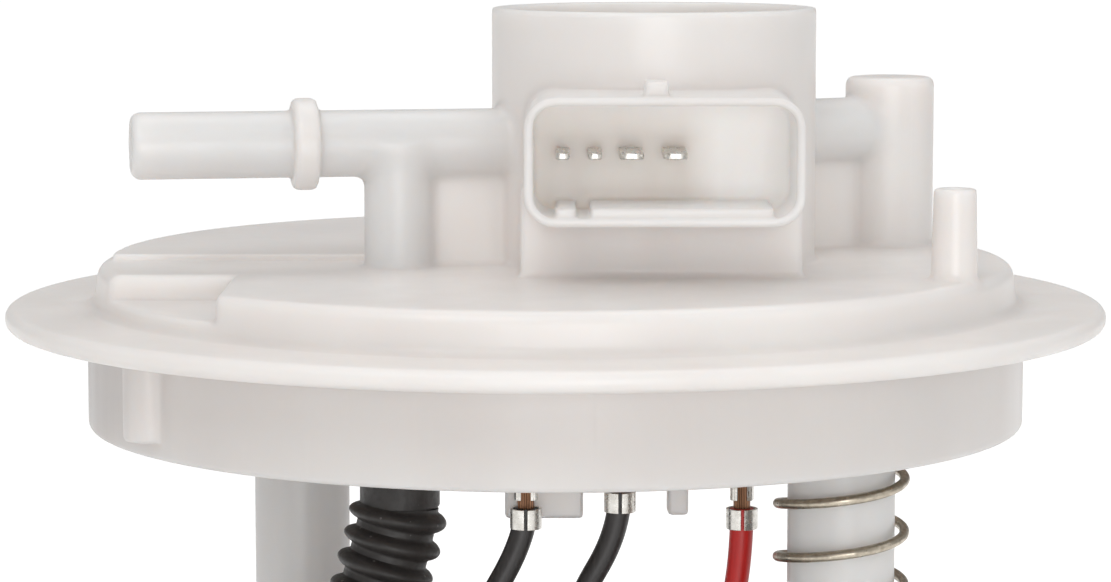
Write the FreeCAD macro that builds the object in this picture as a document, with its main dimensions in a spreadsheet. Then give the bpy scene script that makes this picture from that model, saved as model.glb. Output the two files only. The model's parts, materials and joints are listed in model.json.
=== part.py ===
import FreeCAD, Part
import math
import os
import re

import Sketcher

os.makedirs("parts", exist_ok=True)
doc = FreeCAD.newDocument("fuel_pump_module")
Vector = FreeCAD.Vector

# Driving dimensions in millimetres and degrees. The origin is the centre of the tank opening on the
# seating plane, which is the underside of the cover's disc. +Z is up and -Y is the socket's side.
SIZES = {
    # cover disc, spigot skirt and plateau
    "disc_radius": 67.0,
    "disc_thickness": 2.5,
    "rim_round": 1.1,
    "skirt_radius": 57.15,
    "skirt_drop": 12.1,
    "skirt_wall": 1.8,
    "plateau_radius": 56.3,
    "plateau_height": 7.5,
    "plateau_draft": 0.6,
    "plateau_round": 1.5,
    "plateau_skin": 2.5,
    "land_front_y": -3.0,
    "land_rise": 0.8,
    "land_right_x": -8.0,
    "notch_back_y": -19.0,
    "notch_side_x": -38.0,
    "notch_floor": 4.5,
    "locating_boss_inset": 0.3,
    "locating_boss_angle": -144.5,
    "locating_boss_radius": 3.1,
    "locating_boss_drop": 10.0,
    # regulator cup
    "collar_x": 12.0,
    "collar_radius": 19.76,
    "collar_wall": 1.7,
    "collar_top": 38.3,
    "collar_seat": 17.0,
    "collar_seat_width": 2.0,
    "collar_floor": 9.5,
    # fuel pipe, leg and hose barb
    "pipe_height": 22.4,
    "pipe_radius": 4.0,
    "pipe_bore": 2.5,
    "pipe_angle": 10.5,
    "pipe_reach": 32.0,
    "pipe_tip_round": 1.2,
    "bead_setback": 20.7,
    "bead_radius": 5.5,
    "bead_half_width": 1.5,
    "bead_round": 0.6,
    "leg_x": -18.85,
    "leg_y": -9.5,
    "leg_radius": 4.1,
    "web_thickness": 2.2,
    "barb_radius": 3.5,
    "barb_bite": 0.35,
    "barb_tip": -17.0,
    "barb_length": 2.0,
    "barb_spacing": 5.0,
    # return column and small post
    "column_inset": 10.15,
    "column_angle": 22.95,
    "column_radius": 5.6,
    "column_top": 28.9,
    "column_round": 1.0,
    "return_spout_drop": 9.0,
    "small_post_inset": 3.92,
    "small_post_angle": -27.89,
    "small_post_radius": 2.65,
    "small_post_top": 18.2,
    "small_post_draft": 0.2,
    # wiring socket
    "socket_x": 12.4,
    "socket_width": 32.0,
    "socket_low": 14.5,
    "socket_high": 29.3,
    "socket_front_y": -34.0,
    "socket_back_y": -22.3,
    "socket_corner": 3.6,
    "socket_wall": 1.05,
    "socket_ledge": 1.1,
    "socket_key_x": 3.15,
    "socket_key_width": 1.7,
    "latch_lug_x": 11.5,
    "latch_lug_width": 2.7,
    "latch_lug_height": 1.7,
    "latch_lug_length": 5.0,
    "base_block_side": 0.5,
    # contact blades, moulded into the cover
    "blade_height": 22.4,
    "blade_thickness": 0.8,
    "blade_tip_y": -31.2,
    "blade_plane_y": -20.6,
    "blade_jog_high": 12.0,
    "blade_jog_low": 3.0,
    "blade_tail_z": -12.0,
    "narrow_blade": 1.6,
    "wide_blade": 2.8,
    "tail_width": 2.8,
    "blade_1_x": 0.8,
    "blade_2_x": 4.5,
    "blade_3_x": 8.7,
    "blade_4_x": 13.7,
    "tail_1_x": -3.5,
    "tail_2_x": 7.6,
    "tail_3_x": 14.6,
    "tail_4_x": 22.0,
    # terminal carrier and tabs under the cover
    "carrier_drop": 4.8,
    "carrier_half_depth": 3.4,
    "carrier_left_x": -7.0,
    "carrier_right_x": 26.0,
    "tab_thickness": 2.0,
    "tab_gap": 1.2,
    "left_tab_x": -6.0,
    "left_tab_width": 9.3,
    "left_tab_z": -21.8,
    "right_tab_x": 13.3,
    "right_tab_width": 2.5,
    "right_tab_z": -21.4,
    "right_tab_chamfer": 1.3,
    # crimp terminals and lead wires
    "terminal_width": 3.6,
    "terminal_depth": 3.2,
    "terminal_wall": 0.4,
    "terminal_top": -7.0,
    "terminal_box_length": 8.6,
    "mid_terminal_lift": 2.0,
    "core_crimp_radius": 1.5,
    "core_crimp_length": 3.2,
    "jacket_crimp_radius": 1.95,
    "jacket_crimp_length": 2.4,
    "crimp_gap": 1.2,
    "wire_radius": 1.4,
    # guide posts, stop clips and load spring
    "left_post_angle": 139.94,
    "right_post_angle": -41.79,
    "left_post_inset": 10.99,
    "right_post_inset": 10.24,
    "post_radius": 6.2,
    "post_bore": 4.2,
    "post_bore_top": -14.0,
    "post_end_chamfer": 0.8,
    "post_overhang": 8.0,
    "spigot_radius": 4.0,
    "spigot_length": 8.5,
    "post_socket_radius": 8.6,
    "post_socket_z": -8.0,
    "clip_groove": 0.6,
    "clip_radius": 7.4,
    "clip_thickness": 1.0,
    "clip_opening": 50.0,
    "spring_mean_radius": 7.325,
    "spring_wire_radius": 0.575,
    "spring_pitch": 6.2,
    "spring_phase": 218.0,
    # delivery hose and its clamps
    "hose_radius": 5.6,
    "hose_grip_upper": 12.0,
    "hose_grip_lower": 8.0,
    "clamp_wall": 0.7,
    "clamp_height": 3.0,
    # reservoir cup and guide sleeves
    "cup_clearance": 2.65,
    "cup_wall": 2.0,
    "flat_inset": 8.5,
    "cup_rim": -58.5,
    "cup_floor": -166.0,
    "cup_floor_thickness": 2.0,
    "cup_base": -172.0,
    "base_notch_width": 14.0,
    "base_notch_height": 3.0,
    "sleeve_wall": 3.1,
    "sleeve_top": -55.0,
    "sleeve_length": 24.0,
    "snap_count": 4,
    "snap_angle": 45.0,
    "snap_lug_z": -67.0,
    "snap_lug_width": 7.0,
    "snap_lug_height": 3.6,
    "snap_lug_depth": 1.5,
    # reservoir lid
    "lid_thickness": 2.5,
    "lid_rib_depth": 4.0,
    "lid_rib_wall": 1.6,
    "lid_opening_left": 18.0,
    "lid_opening_right": 36.0,
    "lid_opening_front": 13.0,
    "lid_opening_back": 15.0,
    "lid_opening_corner": 5.0,
    "strap_width": 12.0,
    "strap_thickness": 1.6,
    "strap_bottom": -72.0,
    # fill valve in the reservoir floor
    "fill_valve_x": 22.0,
    "fill_valve_y": 18.0,
    "fill_valve_radius": 9.0,
    "fill_valve_thickness": 1.2,
    "fill_port_circle": 5.4,
    "fill_port_count": 6,
    "fill_port_radius": 1.8,
    "fill_stem_radius": 1.5,
    "fill_stem_head": 2.3,
    "fill_valve_lift": 1.5,
    # pump position and case
    "pump_wall_gap": 4.86,
    "pump_y": -12.0,
    "case_radius": 19.0,
    "case_wall": 1.5,
    "case_top": -93.0,
    "case_length": 62.0,
    "case_lip": 1.6,
    "case_lip_thickness": 1.0,
    # outlet cover on the pump's upper end
    "cover_plate_thickness": 7.0,
    "cover_neck_height": 5.0,
    "cover_neck_round": 1.5,
    "nipple_offset": -8.0,
    "nipple_radius": 3.7,
    "nipple_bore": 2.3,
    "nipple_height": 14.0,
    "nipple_barb": 4.0,
    "valve_chamber_radius": 3.1,
    "valve_chamber_top": -86.0,
    "valve_seat_z": -97.0,
    "valve_port_radius": 1.7,
    "plunger_radius": 2.8,
    "plunger_head": 2.4,
    "plunger_stem": 1.0,
    "plunger_length": 7.0,
    "relief_x": -9.0,
    "relief_y": -9.0,
    "relief_chamber": 2.2,
    "relief_port": 1.3,
    "relief_ball": 1.9,
    "relief_seat_z": -98.0,
    "relief_cap_thickness": 1.6,
    "brush_circle": 8.0,
    "brush_side": 4.6,
    "brush_length": 7.0,
    "brush_holder_wall": 1.3,
    "brush_holder_drop": 3.0,
    "brush_chamber_top": -90.5,
    "small_spring_wire": 0.25,
    "small_spring_pitch": 1.4,
    "brush_spring_turns": 5.0,
    # pump plug and pins
    "plug_offset": 8.0,
    "plug_length": 9.0,
    "plug_width": 12.0,
    "plug_bottom": -87.4,
    "plug_top": -75.0,
    "pin_spacing": 5.0,
    "pin_width": 2.3,
    "pin_top": -79.0,
    "pin_root": -91.0,
    # rotor
    "shaft_radius": 2.0,
    "shaft_tail": 2.0,
    "core_radius": 13.2,
    "core_top": -113.0,
    "core_bottom": -133.0,
    "slot_width": 1.6,
    "slot_depth": 7.0,
    "winding_radius": 12.0,
    "winding_height": 3.6,
    "commutator_radius": 11.5,
    "commutator_thickness": 2.5,
    "commutator_slot": 0.6,
    "pole_count": 8,
    # magnets
    "magnet_inner": 13.9,
    "magnet_angle": 140.0,
    "magnet_overhang": 3.0,
    # turbine stage
    "turbine_top": -139.0,
    "channel_plate_thickness": 6.0,
    "channel_depth": 1.4,
    "impeller_thickness": 3.8,
    "impeller_radius": 15.0,
    "impeller_vane_depth": 2.4,
    "impeller_vane_width": 1.5,
    "impeller_vane_count": 30,
    "bearing_radius": 4.0,
    "bearing_length": 4.6,
    "inlet_offset": 8.0,
    "inlet_radius": 5.0,
    "inlet_bore": 3.4,
    "inlet_length": 6.0,
    # rubber cup and holder
    "isolator_wall": 2.3,
    "isolator_height": 9.0,
    "isolator_floor": 1.4,
    "isolator_hole": 15.0,
    "holder_wall": 1.8,
    "holder_height": 14.0,
    "holder_ring_height": 5.0,
    "holder_leg_width": 8.0,
    # strainer
    "sock_end_inset": 11.5,
    "sock_width": 33.0,
    "sock_height": 6.4,
    "sock_corner": 9.0,
    "sock_inset": 11.0,
    "neck_wall": 1.7,
    "neck_length": 4.6,
    # level sender on the cup's flat
    "pivot_y": 4.0,
    "pivot_z": -104.0,
    "sender_half_width": 15.0,
    "sender_low": -122.0,
    "sender_high": -75.0,
    "sender_plate": 3.0,
    "sender_rim": 1.2,
    "pivot_boss_radius": 4.2,
    "pivot_boss_height": 1.9,
    "pivot_pin_radius": 1.9,
    "pivot_pin_length": 6.6,
    "card_width": 24.0,
    "card_low": 8.0,
    "card_high": 18.0,
    "card_thickness": 0.7,
    "wiper_circle": 13.0,
    "hub_radius": 6.2,
    "hub_thickness": 3.4,
    "hub_clip_radius": 3.4,
    "hub_clip_thickness": 0.8,
    "arm_radius": 1.1,
    "arm_length": 66.0,
    "arm_bend": 4.0,
    "arm_seat": 1.0,
    "arm_rest_angle": 45.0,
    "arm_swing": 80.0,
    "float_length": 28.0,
    "float_height": 18.0,
    "float_width": 14.0,
    "float_corner": 5.0,
    # fits
    "running_clearance": 0.06,
    "seat_clearance": 0.02,
    "loose_clearance": 0.3,
    "stop_clearance": 0.05,
    "cut_overrun": 1.0,
}

sheet = doc.addObject("Spreadsheet::Sheet", "sizes")
for row, (alias, number) in enumerate(SIZES.items(), start=1):
    sheet.set(f"A{row}", alias)
    sheet.set(f"B{row}", str(number))
    sheet.setAlias(f"B{row}", alias)
doc.recompute()


def bound(expression):
    """The expression with each size's name pointing at its cell."""
    names = sorted(SIZES, key=len, reverse=True)
    return re.sub(r"\b(" + "|".join(names) + r")\b", r"sizes.\1", str(expression))


def value(expression):
    """The number that an expression has with the sizes as they stand."""
    found = sheet.evalExpression(str(expression))
    return float(getattr(found, "Value", found))


def new_body(label):
    made = doc.addObject("PartDesign::Body", label)
    made.Label = label
    return made


def place(part, x=0, y=0, z=0, turn=0, axis=Vector(0, 0, 1)):
    """Put a sub-part where the sizes say, turned about one axis of its own."""
    part.Placement = FreeCAD.Placement(Vector(0, 0, 0), FreeCAD.Rotation(axis, 1.0))
    for name, amount in (("Base.x", x), ("Base.y", y), ("Base.z", z), ("Rotation.Angle", turn)):
        part.setExpression("Placement." + name, bound(amount))
    doc.recompute()
    return part


def new_sketch(body, role, x=0, y=0, height=0, turn=0):
    """A sketch on one of the body's origin planes, shifted in the plane and lifted along its normal."""
    plane = [item for item in body.Origin.OriginFeatures if item.Role == role][0]
    sketch = body.newObject("Sketcher::SketchObject", body.Label + "_sketch")
    sketch.AttachmentSupport = (plane, [""])
    sketch.MapMode = "FlatFace"
    sketch.AttachmentOffset = FreeCAD.Placement(Vector(0, 0, 0), FreeCAD.Rotation(Vector(0, 0, 1), 1.0))
    offsets = (("Base.x", x), ("Base.y", y), ("Base.z", height), ("Rotation.Angle", turn))
    for name, amount in offsets:
        sketch.setExpression("AttachmentOffset." + name, bound(amount))
    return sketch


def tie(sketch, kind, number, expression, *where):
    index = sketch.addConstraint(Sketcher.Constraint(kind, *where, number))
    sketch.setExpression(f"Constraints[{index}]", bound(expression))


def tie_point(sketch, edge, end, x, y):
    tie(sketch, "DistanceX", value(x), x, -1, 1, edge, end)
    tie(sketch, "DistanceY", value(y), y, -1, 1, edge, end)


def draw_outline(sketch, points):
    """A closed outline. A point is (x, y), or (x, y, radius, side) where an arc leaves it for the next
    point, with its centre on the left (side 1) or the right (side -1)."""
    first = sketch.GeometryCount
    count = len(points)
    for index, point in enumerate(points):
        follower = points[(index + 1) % count]
        start = Vector(value(point[0]), value(point[1]), 0)
        end = Vector(value(follower[0]), value(follower[1]), 0)
        if len(point) == 2:
            sketch.addGeometry(Part.LineSegment(start, end), False)
            continue
        radius, side = value(point[2]), point[3]
        chord = end - start
        normal = Vector(-chord.y, chord.x, 0).normalize() * side
        rise = math.sqrt(max(radius**2 - (chord.Length / 2) ** 2, 0))
        centre = (start + end) / 2 + normal * rise
        middle = centre - normal * radius
        sketch.addGeometry(Part.Arc(start, middle, end), False)
    for index, point in enumerate(points):
        here, there = first + index, first + (index + 1) % count
        turns = len(point) == 4 and point[3] == -1
        follower_turns = len(points[(index + 1) % count]) == 4 and points[(index + 1) % count][3] == -1
        end = 1 if turns else 2
        start = 2 if follower_turns else 1
        sketch.addConstraint(Sketcher.Constraint("Coincident", here, end, there, start))
        tie_point(sketch, here, 2 if turns else 1, point[0], point[1])
        if len(point) == 4:
            tie(sketch, "Radius", value(point[2]), point[2], here)


def draw_circle(sketch, radius, x=0, y=0):
    centre = Vector(value(x), value(y), 0)
    edge = sketch.addGeometry(Part.Circle(centre, Vector(0, 0, 1), value(radius)), False)
    tie_point(sketch, edge, 3, x, y)
    tie(sketch, "Radius", value(radius), radius, edge)


def box_points(x1, y1, x2, y2):
    return [(x1, y1), (x2, y1), (x2, y2), (x1, y2)]


def rounded_box_points(x1, y1, x2, y2, corner):
    """An outline of a rectangle with round corners, drawn counterclockwise."""
    return [
        (f"{x1} + {corner}", y1),
        (f"{x2} - {corner}", y1, corner, 1),
        (x2, f"{y1} + {corner}"),
        (x2, f"{y2} - {corner}", corner, 1),
        (f"{x2} - {corner}", y2),
        (f"{x1} + {corner}", y2, corner, 1),
        (x1, f"{y2} - {corner}"),
        (x1, f"{y1} + {corner}", corner, 1),
    ]


def shape_step(body, kind, sketch, amount, reverse=False, axis="V_Axis"):
    """Add one feature to the body, recompute it and see that it changed the volume the right way."""
    doc.recompute()
    before = body.Shape.Volume if body.Tip else 0.0
    feature = body.newObject("PartDesign::" + kind, body.Label + "_" + kind.lower())
    feature.Profile = sketch
    feature.Reversed = reverse
    if kind in ("Pad", "Pocket"):
        feature.setExpression("Length", bound(amount))
    else:
        feature.ReferenceAxis = (sketch, [axis])
        feature.setExpression("Angle", bound(amount))
    doc.recompute()
    after = body.Shape.Volume
    grows = kind in ("Pad", "Revolution")
    if (after <= before) if grows else (after >= before):
        raise ValueError(f"{body.Label}: a {kind} changed the volume from {before:.1f} to {after:.1f}")
    return feature


def add_round(body, radius, height, length, x=0, y=0):
    sketch = new_sketch(body, "XY_Plane", height=height)
    draw_circle(sketch, radius, x, y)
    return shape_step(body, "Pad", sketch, length)


def cut_round(body, radius, height, length, x=0, y=0):
    """A round hole from its lower end upwards."""
    sketch = new_sketch(body, "XY_Plane", height=height)
    draw_circle(sketch, radius, x, y)
    return shape_step(body, "Pocket", sketch, length, reverse=True)


def add_block(body, points, height, length, **shift):
    sketch = new_sketch(body, "XY_Plane", height=height, **shift)
    draw_outline(sketch, points)
    return shape_step(body, "Pad", sketch, length)


def cut_block(body, points, height, length, **shift):
    sketch = new_sketch(body, "XY_Plane", height=height, **shift)
    draw_outline(sketch, points)
    return shape_step(body, "Pocket", sketch, length, reverse=True)


def add_turned(body, points, x=0, y=0, angle=360):
    """A solid turned about the vertical line through x, y."""
    sketch = new_sketch(body, "XZ_Plane", x=x, height=f"-({y})")
    draw_outline(sketch, points)
    return shape_step(body, "Revolution", sketch, angle)


def cut_turned(body, points, x=0, y=0):
    sketch = new_sketch(body, "XZ_Plane", x=x, height=f"-({y})")
    draw_outline(sketch, points)
    return shape_step(body, "Groove", sketch, 360)


def repeat_round(body, features, count):
    """Repeat features evenly about the body's own vertical axis."""
    pattern = body.newObject("PartDesign::PolarPattern", body.Label + "_pattern")
    pattern.Originals = features
    axis = [item for item in body.Origin.OriginFeatures if item.Role == "Z_Axis"][0]
    pattern.Axis = (axis, [""])
    pattern.Angle = 360
    pattern.setExpression("Occurrences", bound(count))
    body.Tip = pattern
    doc.recompute()
    return pattern


def tube_points(inner, outer, low, high):
    return box_points(inner, low, outer, high)


def set_part(label, shape):
    """A sub-part whose shape is computed here from the sizes."""
    part = doc.addObject("Part::Feature", label)
    part.Label = label
    part.Shape = shape
    part.Placement = FreeCAD.Placement()
    return part


def route_wire(label, points, bends=None):
    """Straight runs joined by tangent arcs through hand-chosen points. Each arc is as large as its two
    runs allow, unless the bends are given."""
    corners = [Vector(*point) for point in points]
    edges = []
    radii = []
    start = corners[0]
    for index in range(1, len(corners) - 1):
        before = corners[index] - corners[index - 1]
        after = corners[index + 1] - corners[index]
        half_turn = before.getAngle(after) / 2
        shorter = min(before.Length, after.Length)
        radius = bends[index - 1] if bends else 0.45 * shorter / math.tan(half_turn)
        setback = radius * math.tan(half_turn)
        before.normalize()
        after.normalize()
        arc_start = corners[index] - before * setback
        arc_end = corners[index] + after * setback
        inward = (after - before).normalize()
        middle = corners[index] + inward * (radius / math.cos(half_turn) - radius)
        edges.append(Part.LineSegment(start, arc_start).toShape())
        edges.append(Part.Arc(arc_start, middle, arc_end).toShape())
        radii.append(radius)
        start = arc_end
    edges.append(Part.LineSegment(start, corners[-1]).toShape())
    path = Part.Wire(edges)
    print(f"{label}: length {path.Length:.1f}, bend radii", ", ".join(f"{radius:.1f}" for radius in radii))
    return path


def swept(path, radius, inner=None):
    """A round bar or tube along a path, with its volume compared with its section times its length."""
    start = path.Edges[0].Vertexes[0].Point
    heading = path.Edges[0].tangentAt(path.Edges[0].FirstParameter)

    def bar(size):
        ring = Part.Wire(Part.makeCircle(size, start, heading))
        return path.makePipeShell([ring], True, False)

    solid = bar(radius)
    area = math.pi * radius**2
    if inner:
        solid = solid.cut(bar(inner))
        area -= math.pi * inner**2
    if abs(solid.Volume - area * path.Length) > 0.02 * area * path.Length:
        raise ValueError("a swept tube lost its volume")
    return solid


def helix_coil(mean, wire, low, high, pitch, phase=0, y=0):
    """A coil spring between two seats, with its ends resting on them."""
    turns_height = high - low - 2 * wire
    path = Part.makeHelix(pitch, turns_height, mean)
    path.rotate(Vector(0, 0, 0), Vector(0, 0, 1), phase)
    path.translate(Vector(0, y, low + wire))
    start = path.Edges[0].Vertexes[0].Point
    heading = path.Edges[0].tangentAt(path.Edges[0].FirstParameter)
    ring = Part.Wire(Part.makeCircle(wire, start, heading))
    return Part.Wire(path.Edges).makePipeShell([ring], True, True)


# Radii and places that follow from the tank opening: the reservoir passes through it, and the posts,
# the column and the bosses stand on their own rays from its axis.
def on_ray(radius, angle):
    return f"({radius}) * cos({angle})", f"({radius}) * sin({angle})"


cup_radius = "(skirt_radius - cup_clearance)"
cup_flat_x = f"(flat_inset - {cup_radius})"
post_spots = {
    side: on_ray(f"{cup_radius} - {side}_post_inset", f"{side}_post_angle") for side in ("left", "right")
}
column_x, column_y = on_ray("plateau_radius - column_inset", "column_angle")
small_post_spot = on_ray("plateau_radius - small_post_inset", "small_post_angle")
locating_boss_spot = on_ray("skirt_radius - locating_boss_inset", "locating_boss_angle")
isolator_inner = "(case_radius + seat_clearance)"
isolator_outer = f"({isolator_inner} + isolator_wall)"
holder_inner = f"({isolator_outer} + seat_clearance)"
holder_outer = f"({holder_inner} + holder_wall)"
pump_x = f"({cup_flat_x} + cup_wall + pump_wall_gap + {holder_outer})"
nipple_x = f"({pump_x} + nipple_offset)"
inlet_x = f"({pump_x} + inlet_offset)"

# Flange cover: one injection moulding. The disc seats on the tank, the skirt centres it in the
# opening, and the plateau carries everything above.
cover = new_body("cover_moulding")
plateau_under = "plateau_height - plateau_skin"
add_turned(
    cover,
    [
        (0, plateau_under),
        ("plateau_radius - plateau_skin", plateau_under),
        ("skirt_radius - skirt_wall", "-skirt_drop"),
        ("skirt_radius", "-skirt_drop"),
        ("skirt_radius", 0),
        ("disc_radius - rim_round", 0, "rim_round", 1),
        ("disc_radius", "rim_round"),
        ("disc_radius", "disc_thickness - rim_round", "rim_round", 1),
        ("disc_radius - rim_round", "disc_thickness"),
        ("plateau_radius", "disc_thickness"),
        ("plateau_radius - plateau_draft", "plateau_height - plateau_round", "plateau_round", 1),
        ("plateau_radius - plateau_draft - plateau_round", "plateau_height"),
        (0, "plateau_height"),
    ],
)

# The back left of the plateau is a shallow raised land, bounded by a straight step.
land_radius = "(plateau_radius - plateau_draft - plateau_round)"
add_block(
    cover,
    [
        ("land_right_x", "land_front_y"),
        ("land_right_x", f"sqrt({land_radius}^2 - land_right_x^2)", land_radius, 1),
        (f"-sqrt({land_radius}^2 - land_front_y^2)", "land_front_y"),
    ],
    "plateau_height",
    "land_rise",
)

# The front left of the plateau is stepped down. The skin goes down with it.
floor_radius = "(plateau_radius - plateau_skin / 2)"
skin_back = "(notch_back_y + plateau_skin)"
skin_side = "(notch_side_x + plateau_skin)"
add_block(
    cover,
    [
        (skin_side, skin_back),
        (f"-sqrt({floor_radius}^2 - {skin_back}^2)", skin_back, floor_radius, 1),
        (skin_side, f"-sqrt({floor_radius}^2 - {skin_side}^2)"),
    ],
    "notch_floor - plateau_skin",
    "plateau_height - notch_floor",
)
cut_block(
    cover,
    box_points("-disc_radius", "-disc_radius", "notch_side_x", "notch_back_y"),
    "notch_floor",
    "plateau_height",
)

# Locating boss, half outside the skirt, which keys the cover in the opening.
add_round(
    cover,
    "locating_boss_radius",
    "-locating_boss_drop",
    "locating_boss_drop + disc_thickness / 2",
    *locating_boss_spot,
)

# Regulator cup, return column and small post.
add_round(cover, "collar_radius", plateau_under, f"collar_top - ({plateau_under})", "collar_x")
add_turned(
    cover,
    [
        (0, "-return_spout_drop"),
        ("pipe_radius", "-return_spout_drop"),
        ("pipe_radius", plateau_under),
        ("column_radius", plateau_under),
        ("column_radius", "column_top - column_round", "column_round", 1),
        ("column_radius - column_round", "column_top"),
        (0, "column_top"),
    ],
    column_x,
    column_y,
)
add_turned(
    cover,
    [
        (0, plateau_under),
        ("small_post_radius", plateau_under),
        ("small_post_radius - small_post_draft", "small_post_top"),
        ("small_post_radius - 4 * small_post_draft", "small_post_top"),
        (0, "small_post_top - 2 * small_post_draft"),
    ],
    *small_post_spot,
)

# Fuel pipe with its quick-connect bead. It lies across the leg and runs into the regulator cup.
pipe = new_sketch(cover, "XY_Plane", "leg_x", "leg_y", "pipe_height", "180 + pipe_angle")
inward_reach = "(collar_x - leg_x)"
bead_centre = "(pipe_reach - bead_setback)"
draw_outline(
    pipe,
    [
        (f"-{inward_reach}", 0),
        ("pipe_reach", 0),
        ("pipe_reach", "pipe_radius - pipe_tip_round", "pipe_tip_round", 1),
        ("pipe_reach - pipe_tip_round", "pipe_radius"),
        (f"{bead_centre} + bead_half_width", "pipe_radius"),
        (f"{bead_centre} + bead_half_width", "bead_radius - bead_round", "bead_round", 1),
        (f"{bead_centre} + bead_half_width - bead_round", "bead_radius"),
        (f"{bead_centre} - bead_half_width + bead_round", "bead_radius", "bead_round", 1),
        (f"{bead_centre} - bead_half_width", "bead_radius - bead_round"),
        (f"{bead_centre} - bead_half_width", "pipe_radius"),
        (f"-{inward_reach}", "pipe_radius"),
    ],
)
shape_step(cover, "Revolution", pipe, 360, axis="H_Axis")
half_web = "web_thickness / 2"
add_block(
    cover,
    box_points(0, f"-{half_web}", inward_reach, half_web),
    plateau_under,
    f"pipe_height - ({plateau_under})",
    x="leg_x",
    y="leg_y",
    turn="pipe_angle",
)

# Return pipe from the regulator cup to the column, with its web.
return_turn = f"atan2({column_y}; {column_x} - collar_x)"
return_reach = f"sqrt(({column_y})^2 + ({column_x} - collar_x)^2)"
stub = new_sketch(cover, "XY_Plane", "collar_x", 0, "pipe_height", return_turn)
draw_outline(stub, box_points("collar_radius / 2", 0, return_reach, "pipe_radius"))
shape_step(cover, "Revolution", stub, 360, axis="H_Axis")
add_block(
    cover,
    box_points("collar_radius / 2", f"-{half_web}", return_reach, half_web),
    plateau_under,
    f"pipe_height - ({plateau_under})",
    x="collar_x",
    turn=return_turn,
)

# Leg above the plateau and hose barb below it.
barb_low = "(barb_tip + barb_length)"
barb_high = f"({barb_low} + barb_spacing)"
add_turned(
    cover,
    [
        (0, "barb_tip"),
        ("barb_radius - barb_bite", "barb_tip"),
        ("barb_radius + barb_bite", barb_low),
        ("barb_radius", barb_low),
        ("barb_radius", f"{barb_high} - barb_length"),
        ("barb_radius + barb_bite", barb_high),
        ("barb_radius", barb_high),
        ("barb_radius", plateau_under),
        ("leg_radius", plateau_under),
        ("leg_radius", "pipe_height"),
        (0, "pipe_height"),
    ],
    "leg_x",
    "leg_y",
)

# Wiring socket on its base block, in front of the regulator cup.
socket_left = "(socket_x - socket_width / 2)"
socket_right = "(socket_x + socket_width / 2)"
block_left = f"{socket_left} - base_block_side"
block_right = f"{socket_right} + base_block_side"
add_block(
    cover,
    box_points(block_left, "socket_back_y", block_right, "-collar_radius / 2"),
    plateau_under,
    f"socket_low + socket_corner - ({plateau_under})",
)
socket = new_sketch(cover, "XZ_Plane", height="-socket_front_y")
draw_outline(
    socket, rounded_box_points(socket_left, "socket_low", socket_right, "socket_high", "socket_corner")
)
shape_step(cover, "Pad", socket, "-socket_front_y - collar_radius / 2", reverse=True)
socket_hollow = new_sketch(cover, "XZ_Plane", height="-socket_front_y")
draw_outline(
    socket_hollow,
    rounded_box_points(
        f"({socket_left} + socket_wall)",
        "(socket_low + socket_wall)",
        f"({socket_right} - socket_wall)",
        "(socket_high - socket_wall)",
        "(socket_corner - socket_wall)",
    ),
)
shape_step(cover, "Pocket", socket_hollow, "socket_back_y - socket_front_y")

# A low ledge on the socket's floor, with the keying slot of the mating plug.
ledge = new_sketch(cover, "XZ_Plane", height="-socket_back_y")
ledge_inset = "(socket_wall / 2)"
ledge_top = "(socket_low + socket_wall + socket_ledge)"
key_left = "(socket_key_x - socket_key_width / 2)"
key_right = "(socket_key_x + socket_key_width / 2)"
ledge_left = f"({socket_left} + socket_corner)"
ledge_right = f"({socket_right} - socket_corner)"
draw_outline(
    ledge,
    [
        (ledge_left, f"socket_low + {ledge_inset}"),
        (ledge_right, f"socket_low + {ledge_inset}"),
        (ledge_right, ledge_top),
        (key_right, ledge_top),
        (key_right, "socket_low + socket_wall"),
        (key_left, "socket_low + socket_wall"),
        (key_left, ledge_top),
        (ledge_left, ledge_top),
    ],
)
shape_step(cover, "Pad", ledge, "socket_back_y - socket_front_y - socket_wall / 2")
add_block(
    cover,
    box_points(
        "latch_lug_x - latch_lug_width / 2",
        "socket_front_y + socket_wall",
        "latch_lug_x + latch_lug_width / 2",
        "socket_front_y + socket_wall + latch_lug_length",
    ),
    "socket_high - socket_wall / 2",
    "latch_lug_height + socket_wall / 2",
)

# Carrier block and tabs under the plateau, which hold the blades' tails and part the terminals.
carrier_front = "blade_plane_y - carrier_half_depth"
carrier_back = "blade_plane_y + carrier_half_depth"
add_block(
    cover,
    box_points("carrier_left_x", carrier_front, "carrier_right_x", carrier_back),
    "-carrier_drop",
    f"carrier_drop + {plateau_under}",
)
tab_front = "(blade_plane_y + terminal_depth / 2 + tab_gap)"
add_block(
    cover,
    box_points("left_tab_x", tab_front, "left_tab_x + left_tab_width", f"{tab_front} + tab_thickness"),
    "left_tab_z",
    f"{plateau_under} - left_tab_z",
)
right_tab = new_sketch(cover, "XZ_Plane", height=f"-{tab_front}")
draw_outline(
    right_tab,
    [
        ("right_tab_x + right_tab_chamfer", "right_tab_z"),
        ("right_tab_x + right_tab_width", "right_tab_z"),
        ("right_tab_x + right_tab_width", plateau_under),
        ("right_tab_x", plateau_under),
        ("right_tab_x", "right_tab_z + right_tab_chamfer"),
    ],
)
shape_step(cover, "Pad", right_tab, "2 * tab_thickness", reverse=True)

# Sockets for the guide posts.
for side in ("left", "right"):
    add_round(
        cover,
        "post_socket_radius",
        "post_socket_z",
        f"{plateau_under} - post_socket_z",
        *post_spots[side],
    )
    cut_round(
        cover,
        "spigot_radius + seat_clearance",
        "post_socket_z",
        "spigot_length + loose_clearance",
        *post_spots[side],
    )

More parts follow.
